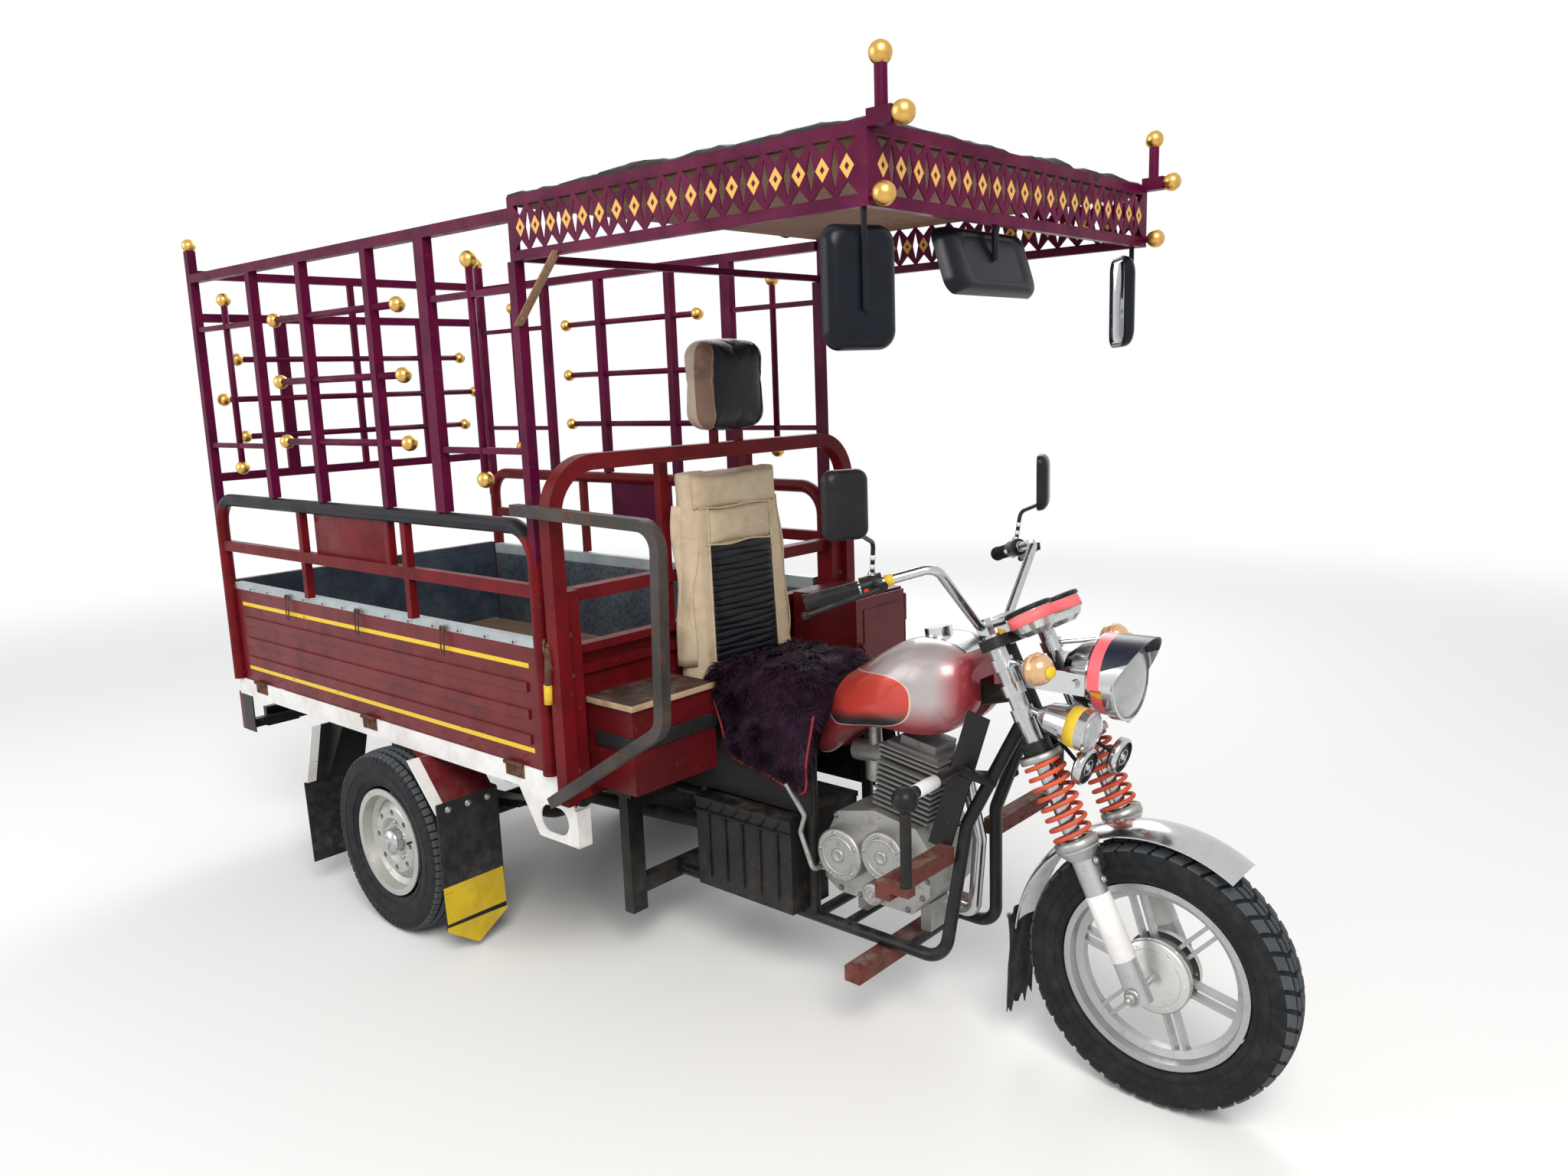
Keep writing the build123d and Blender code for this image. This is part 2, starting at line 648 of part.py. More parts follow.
def canopy_lattice():
    """Lattice sheets in the front and both sides of the canopy frame."""
    back, front = ahead(canopy_rear), ahead(canopy_front)
    low, height = canopy_low + canopy_bar, canopy_high - canopy_low - 2 * canopy_bar
    side_sheet = lattice(front - back - 2 * canopy_bar, height)
    end_sheet = lattice(canopy_width - 2 * canopy_bar, height)
    edge = canopy_half - canopy_bar
    right = Plane(origin=(back + canopy_bar, -canopy_half + lattice_sheet, low), x_dir=(1, 0, 0), z_dir=(0, -1, 0)) * side_sheet
    first = Plane(origin=(front - lattice_sheet, -edge, low), x_dir=(0, 1, 0), z_dir=(1, 0, 0)) * end_sheet
    save("canopy_lattice", *both_sides(right), first)


def canopy_ceiling():
    """Plywood sheet under the top bars."""
    top = canopy_high - canopy_bar
    inset = canopy_bar + seat_gap
    x = (ahead(canopy_rear) + inset, ahead(canopy_front) - inset)
    y = canopy_half - inset
    save("canopy_ceiling", block(x, (-y, y), (top - ceiling_sheet, top)))


def canopy_roof():
    """Tarpaulin laid over the canopy frame, a little crowned."""
    back, front = ahead(canopy_rear) + 6, ahead(canopy_front) - 6
    low = canopy_high + seat_gap
    middle = (front + back) / 2
    y = canopy_half - 6
    base = Plane(origin=(middle, 0, low)) * Rectangle(front - back, 2 * y)
    crown = Plane(origin=(middle, 0, low + roof_rise)) * Rectangle((front - back) * 0.62, 2 * y * 0.55)
    save("canopy_roof", loft([base, crown]))


def mirror_shell(width, height, depth):
    """Mirror head facing -X: a flat glass side and a domed back towards +X."""
    sections = []
    for share, across, upright in ((0, 1, 1), (0.55, 0.94, 0.96), (1, 0.58, 0.66)):
        plane = Plane(origin=(share * depth, 0, 0), x_dir=(0, 1, 0), z_dir=(1, 0, 0))
        sections.append(plane * RectangleRounded(width * across, height * upright, 0.22 * min(width, height) * across))
    return loft(sections)


def canopy_mirrors():
    """Truck mirrors hung on rods from the front edge of the canopy, and a wide one in the middle."""
    heads = []
    # rod x ahead, rod y, drop of the rod, head y, head z, turn
    for place, y, drop, head_y, head_z, turn in ((1812, -574, 180, -556, 1780, -24), (1796, 574, 150, 566, 1786, 40)):
        hanger = rod((ahead(place), y, canopy_low), (ahead(place), y, canopy_low - drop), 12)
        head = Pos(ahead(place) - 32, head_y, head_z) * Rot(0, 0, turn) * mirror_shell(150, 226, 30)
        heads.append(fused(hanger, head))
    tilt = Rot(0, -18, 0)
    wide = Pos(ahead(1790), -130, 1842) * tilt * mirror_shell(350, 140, 26)
    arm = rod((ahead(1818), -130, canopy_low), (ahead(1818), -130, 1850), 14)
    heads.append(fused(wide, arm))
    save("canopy_mirrors", *heads)


def head_axis(up):
    """Point on the steering axis."""
    return fork_point(up, -axis_offset)


def main_frame():
    """Head tube, backbone, double cradle, seat rails and the drop posts to the cargo frame."""
    low, high = lower_clamp + clamp_thickness + 1, upper_clamp - 1
    tube = rod(head_axis(low), head_axis(high), head_tube)
    bore = rod(head_axis(low - 5), head_axis(high + 5), stem_diameter + 2 * bearing_gap)
    neck = head_axis(low + neck_rise)
    rear_x, post_x = ahead(876), ahead(740)
    rear = Vector(ahead(1262), 0, backbone_rear_z)
    pieces = [rod((neck.X, 0, neck.Z), rear, backbone_tube)]
    for share in (0.3, 0.75):
        spot = Vector(neck.X, 0, neck.Z) * (1 - share) + rear * share
        reach = backbone_tube / 2 + tank_clear - seat_gap
        pieces.append(rod((spot.X, -reach, spot.Z), (spot.X, reach, spot.Z), 22))
    for side in (-1, 1):
        y = side * cradle_half_spacing
        foot = head_axis(low + 60)
        cradle = ((post_x, y, cradle_z), (ahead(1668), y, cradle_z), (ahead(1700), side * 66, 560), (foot.X, side * 12, foot.Z))
        pieces.append(bent_rod(cradle, 60, cradle_tube))
        for x in (rear_x, ahead(1262)):
            pieces.append(rod((x, y, cradle_z), (x, y, seat_rail_z), cradle_tube))
        pieces.append(rod((ahead(846), y, seat_rail_z), (ahead(1262), y, seat_rail_z), cradle_tube))
        drop = square_bar(post_x, side * 290, (150, rail_low), 36, 54)
        pieces.append(drop)
        pieces.append(rod((ahead(1262), y, seat_rail_z), (ahead(1262), 0, backbone_rear_z), 22))
    for x in (rear_x, ahead(1262)):
        pieces.append(rod((x, -cradle_half_spacing, cradle_z), (x, cradle_half_spacing, cradle_z), 28))
    pieces.append(block((post_x - 18, post_x + 18), (-290, 290), (cradle_z - 22, cradle_z + 22)))
    for place in engine_mounts:
        pieces.append(rod((ahead(place), -cradle_half_spacing, cradle_z), (ahead(place), cradle_half_spacing, cradle_z), mount_tube))
    tie_z = 474
    pieces.append(block((post_x - 16, post_x + 16), (-290, 290), (tie_z - 14, tie_z + 14)))
    for side in (-1, 1):
        y = side * cradle_half_spacing
        pieces.append(rod((post_x, y, tie_z), (rear_x, y, tie_z), 26))
        guard = (
            (ahead(1762), side * 44, 668), (ahead(1708), side * 116, 712),
            (ahead(guard_x), side * guard_y, 718), (ahead(guard_x), side * guard_y, foot_bar_z + foot_bar / 2),
        )
        pieces += [bent_rod(guard, 30, 26), knob((ahead(guard_x), side * guard_y, 712), guard_ball)]
    shroud = ((ahead(1722), 852), (ahead(1780), 838), (ahead(1668), 490), (ahead(1608), 504))
    pieces.append(plate_xz(shroud, -96, 5))
    pieces.append(rod((ahead(1697), -66, 560), (ahead(1664), -94, 560), 12))
    pieces.append(rod((ahead(1760), -36, 690), (ahead(1712), -94, 700), 12))
    save("main_frame", fused(tube, *pieces) - bore)


def fuel_tank():
    """Teardrop tank lofted through sections, with a slot under it for the backbone and a filler cap."""
    # low x, low z, high x, high z, width
    stations = (
        (1236, 640, 1335, 878, 150),
        (1330, 700, 1420, 930, 226),
        (1450, 752, 1520, 985, 284),
        (1590, 760, 1620, 1000, 300),
        (1680, 800, 1690, 975, 250),
        (1720, 860, 1714, 935, 130),
    )
    sections = []
    for low_x, low_z, high_x, high_z, width in stations:
        rise = Vector(high_x - low_x, 0, high_z - low_z)
        plane = Plane(
            origin=(ahead((low_x + high_x) / 2), 0, (low_z + high_z) / 2),
            x_dir=(0, 1, 0),
            z_dir=(rise.Z, 0, -rise.X),
        )
        sections.append(plane * RectangleRounded(width, rise.length, 0.42 * min(width, rise.length)))
    tank = loft(sections)
    clear = backbone_tube / 2 + tank_clear
    neck = head_axis(lower_clamp + clamp_thickness + neck_rise)
    slot = plate_xz(
        (
            (ahead(1200), 560),
            (neck.X + 20, 560),
            (neck.X + 20, neck.Z + clear + 18),
            (ahead(1200), backbone_rear_z + clear + tank_clear),
        ),
        -clear,
        2 * clear,
    )
    cap = rod((ahead(1586), 0, 985), (ahead(1580), 0, 1018), 68)
    save("fuel_tank", fused(tank - slot, cap))


def rounded_block(x, y, z, radius):
    """Box with rounded edges for a soft part."""
    solid = block(x, y, z)
    return fillet(solid.edges(), radius)


def seat():
    """Seat pan on the seat rails, side covers, and the cushion with its hanging cover."""
    rail_top = seat_rail_z + cradle_tube / 2
    pan = block((ahead(868), ahead(1222)), (-140, 140), (rail_top, seat_low - seat_gap))
    cover_y = cradle_half_spacing + cradle_tube / 2
    covers = [
        block((ahead(862), ahead(1276)), (side * cover_y, side * (cover_y + 4))[::side], (506, rail_top + 10)) for side in (1, -1)
    ]
    save("seat_frame", fused(pan, *covers))
    half = seat_width / 2
    sections = []
    for x, width, high in ((seat_rear, seat_width - 20, seat_top - 6), (1130, seat_width, seat_top), (seat_front, 300, seat_top - 10)):
        plane = Plane(origin=(ahead(x), 0, (seat_low + high) / 2), x_dir=(0, 1, 0), z_dir=(1, 0, 0))
        sections.append(plane * RectangleRounded(width, high - seat_low, 38))
    hem = ((985, 815), (1052, flap_low + 58), (seat_front + 5, flap_low), (seat_front + 50, 800), (seat_front - 30, 830))
    flaps = [plate_xz([(ahead(x), z) for x, z in hem], y, 14) for y in (-half, half - 14)]
    save("seat_cushion", fused(loft(sections), *flaps))


def backrest():
    """Tall padded backrest against the front hoop, and the separate headrest on two stays."""
    back = box_front_x + front_hoop_bar + seat_gap
    centre = 45
    low = Plane(origin=(back + 42, centre, 795)) * RectangleRounded(84, 430, 30)
    high = Plane(origin=(back + 32, centre - 18, 1385)) * RectangleRounded(64, 372, 26)
    save("backrest", loft([low, high]))
    head = rounded_block((front_hoop_x - 50, front_hoop_x + 60), (-80, 175), (headrest_low, 1735), 48)
    save("headrest", head)


def toolbox():
    """Open steel box on the front wall at the right, with its own lid."""
    back = box_front_x + 20
    front = back + toolbox_length
    hinge_x, hinge_z = back + 10, toolbox_top + lid_gap + lid_knuckle / 2
    outer, inner = -toolbox_outer, -toolbox_inner
    body = block((back, front), (outer, inner), (toolbox_low, toolbox_top))
    hollow = block(
        (back + box_sheet, front - box_sheet),
        (outer + box_sheet, inner - box_sheet),
        (toolbox_low + box_sheet, toolbox_top + 1),
    )
    lid = block((hinge_x + 3, front + 6), (outer - 4, inner + 4), (toolbox_top + lid_gap, toolbox_top + lid_gap + lid_thickness))
    lid = fillet(lid.edges().filter_by(Axis.Z).sort_by(Axis.X)[-2:], 10)
    lid = fused(lid, rod((hinge_x, outer, hinge_z), (hinge_x, inner, hinge_z), lid_knuckle))
    fixed = []
    for middle in (outer + 60, inner - 60):
        low, high = middle - 20, middle + 20
        strap = block((back, hinge_x), (low + 4, high - 4), (hinge_z - 2, hinge_z + 2.5))
        foot = block((back, back + box_sheet), (low + 4, high - 4), (toolbox_top - 10, hinge_z + 2.5))
        bore = rod((hinge_x, low - 1, hinge_z), (hinge_x, high + 1, hinge_z), lid_pin + 2 * bearing_gap)
        fixed.append(fused(strap, foot, rod((hinge_x, low, hinge_z), (hinge_x, high, hinge_z), lid_knuckle)) - bore)
        room = lid_knuckle / 2 + 2
        lid -= block((back - 1, hinge_x + room), (low - 1, high + 1), (toolbox_top, hinge_z + room))
    save("toolbox", fused(body - hollow, *fixed))
    save("toolbox_lid", fused(lid, rod((hinge_x, outer, hinge_z), (hinge_x, inner, hinge_z), lid_pin)))


def cabinet():
    """Tall steel tool cabinet at the left, with a door at its front."""
    back = box_front_x + post_depth + seat_gap
    front = back + cabinet_length
    body = block((back, front), (cabinet_inner, cabinet_outer), (toolbox_low, cabinet_top))
    hollow = block(
        (back + box_sheet, front + 1),
        (cabinet_inner + box_sheet, cabinet_outer - box_sheet),
        (toolbox_low + box_sheet, cabinet_top - box_sheet),
    )
    shelf = block((back, front - 12), (cabinet_inner, cabinet_outer), (800, 803))
    x = (front + lid_gap, front + lid_gap + door_thickness)
    pin_x, pin_y = (x[0] + x[1]) / 2, cabinet_outer + 6
    straps, knuckles = [], []
    for low, fixed in ((650, True), (691, False), (880, False), (921, True)):
        knuckle = rod((pin_x, pin_y, low), (pin_x, pin_y, low + 40), 14)
        if fixed:
            plate = block((front - 36, pin_x), (cabinet_outer, cabinet_outer + 3), (low, low + 40))
            bore = rod((pin_x, pin_y, low - 1), (pin_x, pin_y, low + 41), 8 + 2 * bearing_gap)
            straps.append(fused(knuckle, plate) - bore)
        else:
            knuckles.append(fused(knuckle, block((x[0], x[1]), (cabinet_outer - 10, pin_y), (low, low + 40))))
    save("cabinet", fused(body - hollow, shelf, *straps))
    knuckles.append(rod((pin_x, pin_y, 648), (pin_x, pin_y, 963), 8))
    panel = block(x, (cabinet_inner, cabinet_outer - 3), (toolbox_low + 6, cabinet_top - 6))
    raised = block((x[1] - 1, x[1] + 3), (cabinet_inner + 34, cabinet_outer - 34), (toolbox_low + 40, cabinet_top - 40))
    handle = rod((x[1], cabinet_inner + 20, 840), (x[1] + 14, cabinet_inner + 20, 840), 16)
    save("cabinet_door", fused(panel, raised, handle, *knuckles))


def side_guard():
    """Bent square tube beside the driver at the right."""
    y = -guard_plane_y
    points = ((ahead(748), y, 1328), (ahead(1266), y, 1314), (ahead(1246), y, 852), (ahead(822), y, 588))
    save("side_guard", bent_bar(points, 55, guard_bar, guard_bar, (0, 1, 0)))


def cylinder_point(forward, left, up):
    """Point in the leaning cylinder's own frame."""
    return cylinder_plane.from_local_coords((forward, left, up))


def engine():
    """Upright single: crankcase with round covers, finned cylinder, head, carburettor and levers."""
    drop = 64 * tan(radians(cylinder_lean))
    foot_x, foot_z = cylinder_foot
    outline = (
        (1285, 330), (1330, 300), (1560, 300), (1612, 360), (1618, 470),
        (foot_x + 64, foot_z - drop), (foot_x - 64, foot_z + drop), (1330, 520), (1284, 430),
    )
    case = plate_xz([(ahead(x), z) for x, z in outline], -100, 200)
    # x ahead, z, radius, outer y
    covers = (
        (1368, 424, 70, -150),
        (1498, 448, 66, -142),
        (1470, 345, 30, -150),
        (1298, 372, 14, -132),
        (1380, 420, 66, 138),
        (1520, 440, 70, 142),
    )
    for x, z, radius, y in covers:
        cover = rod((ahead(x), y * 0.6, z), (ahead(x), y, z), 2 * radius)
        case = fused(case, fillet(cover.edges().filter_by(GeomType.CIRCLE).sort_by(Axis.Y)[0 if y < 0 else -1], 8))
    kick = bent_rod(
        ((ahead(1298), -128, 372), (ahead(1298), -166, 372), (ahead(1262), -170, 470), (ahead(1284), -176, 520), (ahead(1248), -204, 608)),
        16, 13,
    )
    feet = [block((ahead(x) - 15, ahead(x) + 15), (-40, 40), (cradle_z + mount_tube / 2 + seat_gap, 310)) for x in engine_mounts]
    save("engine", fused(case, kick, *feet))
    base = cylinder_plane
    fin_count, fin_pitch, fin_sheet = 9, 14, 5
    body = base * Box(96, 100, 178, align=UP)
    fins = [base * Pos(0, 0, 10 + fin_pitch * i) * Box(168, 166, fin_sheet, align=UP) for i in range(fin_count)]
    head = base * Pos(0, 0, 134) * Box(150, 120, 44, align=UP)
    head_fins = [base * Pos(0, 0, 140 + 12 * i) * Box(176, 150, 5, align=UP) for i in range(3)]
    rocker = base * Pos(6, 0, 176) * Box(104, 92, 24, align=UP)
    inlet = rod(cylinder_point(-48, 0, inlet_up), cylinder_point(-120, 0, inlet_up), 52)
    outlet = rod(cylinder_point(75, 0, outlet_up), cylinder_point(120, 0, outlet_up), 46)
    save("cylinder", fused(body, *fins, head, *head_fins, rocker) - inlet - outlet)
    flange = cylinder_point(-48 - seat_gap, 0, inlet_up)
    throat = cylinder_point(-112, 0, inlet_up)
    intake = rod(flange, throat, 36)
    back = Vector(ahead(1322), 0, throat.Z - 6)
    barrel = rod(throat, back, 56)
    x = throat.X - 34
    bowl = rod((x, 0, throat.Z - 74), (x, 0, throat.Z - 20), 54)
    slide = rod((x, 0, throat.Z), (x - 4, 0, throat.Z + 70), 36)
    save("carburettor", fused(intake, barrel, bowl, slide))


def exhaust():
    """Header from the front of the head, under the engine, to a silencer at the left."""
    port = cylinder_point(75 + seat_gap, 0, outlet_up)
    points = (
        port, cylinder_point(122, 0, outlet_up), (ahead(1668), 44, 480), (ahead(1640), 60, 268),
        (ahead(1480), 74, 266), (ahead(1230), 190, 266), (ahead(1100), 214, 268),
    )
    pipe = bent_rod(points, 36, 34)
    silencer = rod((ahead(1120), 210, 266), (ahead(780), 216, 300), 92)
    save("exhaust", fused(pipe, silencer))


def battery_box():
    """Black box on the cradle under the seat, with a stepped lid."""
    x = (ahead(896), ahead(1242))
    z = cradle_z + cradle_tube / 2
    body = block(x, (-186, -38), (z, 484))
    upper = block(x, (-186, 96), (396, 484))
    lid = block((x[0] - 2, x[1] + 2), (-190, 100), (482, 496))
    save("battery_box", fused(body, upper, lid))


def foot_bars():
    """Red foot bars under the engine guards and the step under the cradle."""
    half = foot_bar / 2
    bars = []
    for side in (-1, 1):
        foot = block((ahead(1645), ahead(1685)), (side * 100, side * (guard_y + 14))[::side], (foot_bar_z - half, foot_bar_z + half))
        link = block((ahead(1680), ahead(guard_x + 14)), (side * (guard_y - 14), side * (guard_y + 14))[::side], (foot_bar_z, foot_bar_z + half))
        bars.append(fused(foot, link))
    top = cradle_z - cradle_tube / 2
    step = block((ahead(1470), ahead(1516)), (-262, 262), (top - foot_bar, top))
    save("foot_bars", *bars, step)


def rear_fenders():
    """Splash plates ahead of and behind each rear wheel, with their white gussets."""
    solids = []
    outer, inner = -(half_box), -rail_half_spacing - 40
    arch = rear_tyre_radius + 12
    top = skirt_bottom - seat_gap
    sheet_points = ((ahead(170), top), (ahead(300), 440), (ahead(304), 440), (ahead(180), top))
    sheet = plate_xz(sheet_points, -wheel_y - 66, 206)
    gusset_points = [(ahead(84), top), (ahead(176), top), (ahead(300), 440), (ahead(302), 360)]
    for angle in (16, 28, 40, 52, 64):
        gusset_points.append((rear_axle_x + arch * cos(radians(angle)), rear_axle_z + arch * sin(radians(angle))))
    gusset = plate_xz(gusset_points, outer, skirt_sheet)
    solids.append(fused(sheet, gusset))
    stay = plate_xz(
        ((ahead(-324), top), (ahead(-413), top), (ahead(-480), 372), (ahead(-458), 372)), outer, skirt_sheet
    )
    hanger = plate_xz(((ahead(-400), top), (ahead(-408), top), (ahead(-482), 372), (ahead(-474), 372)), -wheel_y - 60, 200)
    solids.append(fused(stay, hanger))
    save("rear_fenders", *[piece for solid in solids for piece in both_sides(solid)])


def mudflaps():
    """Rubber flaps behind the splash plates; the front pair carry blank pointed plates."""
    x = ahead(304) + seat_gap
    outer, inner = -wheel_y - 66, -wheel_y + 138
    middle = (outer + inner) / 2
    with BuildSketch(Plane.YZ.offset(x)) as face:
        with BuildLine():
            Polyline((outer, 470), (inner, 470), (inner, 90), (middle, 26), (outer, 90), close=True)
        make_face()
    front = extrude(face.sketch, 5)
    back = plate_xz(((ahead(-482), 371.7), (ahead(-470), 100), (ahead(-475), 100), (ahead(-487), 371.7)), outer, 190)
    save("mudflaps", *both_sides(front), *both_sides(back))


def tail_lamps():
    """Lamp heads on the rear bar."""
    lamps = []
    for side in (-1, 1):
        lamps.append(block((box_back_x - 34, box_back_x - 10 - seat_gap), (side * 360, side * 480)[::side], (428, 500)))
    save("tail_lamps", *lamps)


def fork():
    """Lower legs with the axle, exposed coil springs, chrome tubes and the two clamps."""
    legs = []
    inner = fork_tube / 2
    for side in (-1, 1):
        y = side * fork_half_spacing
        leg = Pos(0, y, -24) * Cylinder(fork_leg / 2, fork_leg_top + 24, align=UP)
        collar = Pos(0, y, fork_leg_top - 24) * Cone(fork_leg / 2, spring_diameter / 2, 24, align=UP)
        seat = Pos(0, y, fork_leg_top) * Cylinder(spring_diameter / 2, spring_low - fork_leg_top - seat_gap, align=UP)
        bore = Pos(0, y, fork_leg_top - 60) * Cylinder(inner + bearing_gap, 90, align=UP)
        legs += [leg - bore, collar - bore, seat - bore]
    axle = Rot(90, 0, 0) * Cylinder(axle_diameter / 2, 2 * fork_half_spacing + fork_leg + 24)
    save("fork_legs", fork_plane * fused(legs[0], *legs[1:], axle))
    height = spring_high - spring_low - spring_wire
    radius = (spring_diameter - spring_wire) / 2
    springs = []
    for side in (-1, 1):
        coil = Helix(pitch=height / spring_coils, height=height, radius=radius)
        wire = sweep(Plane(origin=coil @ 0, z_dir=coil % 0) * Circle(spring_wire / 2), path=coil, is_frenet=True)
        springs.append(fork_plane * Pos(0, side * fork_half_spacing, spring_low + spring_wire / 2) * wire)
    save("fork_springs", *springs)
    tubes = []
    for side in (-1, 1):
        tube = Pos(0, side * fork_half_spacing, fork_leg_top - 60) * Cylinder(inner, fork_top - fork_leg_top + 60, align=UP)
        tubes.append(fork_plane * tube)
    save("fork_tubes", *tubes)
    plates = []
    for up in (lower_clamp, upper_clamp):
        bar = Pos(-12, 0, up) * Box(56, 2 * fork_half_spacing, clamp_thickness, align=UP)
        hub = Pos(-axis_offset, 0, up) * Cylinder(34, clamp_thickness, align=UP)
        plate = fused(bar, hub)
        for side in (-1, 1):
            y = side * fork_half_spacing
            plate = fused(plate, Pos(0, y, up) * Cylinder(34, clamp_thickness, align=UP))
            plate -= Pos(0, y, up - 10) * Cylinder(inner + bearing_gap, clamp_thickness + 20, align=UP)
        plates.append(plate)
    stem = Pos(-axis_offset, 0, lower_clamp) * Cylinder(stem_diameter / 2, upper_clamp - lower_clamp + clamp_thickness, align=UP)
    cups = [
        Pos(0, side * fork_half_spacing, spring_high + seat_gap)
        * (Cylinder(spring_diameter / 2, lower_clamp - spring_high - seat_gap, align=UP) - Cylinder(inner + bearing_gap, 40, align=UP))
        for side in (-1, 1)
    ]
    save("fork_clamps", fork_plane * fused(plates[0], plates[1], stem, *cups))


def front_fender():
    """Curved front fender on two brackets from the fork legs."""
    half = fender_width / 2
    with BuildSketch() as face:
        with BuildLine():
            outer = ThreePointArc((fender_radius, half), (fender_radius + fender_crown, 0), (fender_radius, -half))
            edge = Line(outer @ 1, (fender_radius - fender_sheet, -half))
            inner = ThreePointArc(edge @ 1, (fender_radius + fender_crown - fender_sheet, 0), (fender_radius - fender_sheet, half))
            Line(inner @ 1, outer @ 0)
        make_face()
    start, sweep_angle = 57, 118
    arch = Rot(0, -start, 0) * revolve(face.sketch, axis=Axis.Y, revolution_arc=-sweep_angle)
    arch = Pos(front_axle_x, 0, front_axle_z) * arch
    reach = fork_half_spacing - fork_leg / 2
    brackets = []
    for side in (-1, 1):
        brackets.append(fork_plane * block((-20, 20), (side * (half - 2), side * (half + 2))[::side], (256, fender_radius)))
        brackets.append(fork_plane * block((-20, 20), (side * half, side * (reach + 3))[::side], (262, 286)))
    legs = [fork_plane * Pos(0, side * fork_half_spacing, 200) * Cylinder(fork_leg / 2 + seat_gap, 96, align=UP) for side in (-1, 1)]
    fender = fused(arch, *brackets)
    for leg in legs:
        fender -= leg
    save("front_fender", fender)


def fork_clamp(up, side):
    """Split ring around a chrome fork tube."""
    place = Pos(0, side * fork_half_spacing, up)
    sleeve = Cylinder(fork_tube / 2 + 6, 26, align=UP) - Cylinder(fork_tube / 2 + bearing_gap, 30, align=UP)
    return fork_plane * (place * sleeve)


def along(point, direction, shape):
    """Shape turned from the Y axis to a direction and moved to a point."""
    return Plane(origin=point, x_dir=(0, -1, 0), z_dir=direction) * (Rot(90, 0, 0) * shape)


def lamp_peak():
    """Visor round the upper half of the headlamp rim, drawn out to a point at the top; forward is +Y."""
    shell = revolve(Pos(95.5, 155) * Rectangle(3, 120), axis=Axis.Y, revolution_arc=190)
    band = revolve(Pos(90, 103) * Rectangle(14, 14), axis=Axis.Y, revolution_arc=190)
    with BuildSketch(Plane.YZ) as front:
        with BuildLine():
            Polyline((150, -40), (150, 0), (208, 98), (260, 110), (260, -40), close=True)
        make_face()
    return Rot(0, -185, 0) * fused(shell, band) - extrude(front.sketch, 120, both=True)


def headlamp():
    """Chrome bowl with a rim and a peak, carried by two ears clamped on the fork tubes."""
    outline = (
        (0, 0), (24, 2), (50, 16), (70, 44), (82, 84), (86, 124),
        (92, 127), (92, 152), (86, 154), (86, 144), (56, 149), (0, 151),
    )
    lamp = along((ahead(1922), 0, 954), (1, 0, 0.02), fused(turned(outline), lamp_peak()))
    for side in (-1, 1):
        ear = block((ahead(1850), ahead(2010)), (side * 83, side * 89)[::side], (928, 976))
        pin = rod((ahead(1985), side * 78, 952), (ahead(1985), side * 100, 952), 20)
        lamp = fused(lamp, ear, pin, fork_clamp(680, side))
    save("headlamp", lamp)


def front_lamps():
    """Ball turn signals on stalks, and one bullet spot lamp at the right."""
    signals = []
    for side in (-1, 1):
        root = fork_point(752, 25, side * fork_half_spacing)
        ball = (ahead(1950), side * 182, 1000)
        signals.append(fused(fork_clamp(740, side), rod(root, ball, 12), knob(ball, 68)))
    root = fork_point(636, 25, -fork_half_spacing)
    outline = ((0, 0), (16, 2), (34, 26), (43, 66), (46, 100), (46, 122), (40, 126), (0, 130))
    bullet = along((ahead(1922), -122, 884), (1, 0, -0.17), turned(outline))
    signals.append(fused(fork_clamp(624, -1), rod(root, (ahead(1940), -122, 881), 14), bullet))
    save("front_lamps", *signals)


def horns():
    """Two disc horns on straps from the lower clamp."""
    face = 16 + seat_gap
    solids = []
    outline = ((0, -4), (16, -4), (22, 2), (41, 6), (42, 10), (42, 22), (36, 26), (34, 20), (12, 22), (0, 24))
    for x, y, root_y in ((1996, -86, -56), (2026, 22, 34)):
        pad = fork_plane * block((face, face + 5), (root_y - 14, root_y + 14), (lower_clamp + 2, lower_clamp + 24))
        strap = rod(fork_point(lower_clamp + 13, face + 5, root_y), (ahead(x), y, 776), 9)
        solids.append(fused(pad, strap, along((ahead(x), y, 776), (1, 0, -0.25), turned(outline))))
    save("horns", *solids)


def gauges():
    """Oval instrument housing facing the driver, on a bracket from the upper clamp."""
    tilt = radians(28)
    plane = Plane(origin=(ahead(1886), 0, 1048), x_dir=(0, 1, 0), z_dir=(-sin(tilt), 0, cos(tilt)))
    outline = ((0, 0), (26, 0), (42, 10), (50, 26), (50, 52), (54, 54), (54, 62), (48, 62), (48, 58), (0, 58))
    pods = [plane * Pos(side * 62, 0, 0) * Rot(90, 0, 0) * turned(outline) for side in (-1, 1)]
    bridge = plane * Pos(0, 0, 8) * extrude(RectangleRounded(124, 80, 22), 44)
    face = 16 + seat_gap
    pad = fork_plane * block((face, face + 6), (-34, 34), (upper_clamp + 1, upper_clamp + 25))
    arm = fork_plane * block((face, face + 52), (-30, 30), (upper_clamp + 4, upper_clamp + 12))
    save("gauges", fused(bridge, *pods, pad, arm))


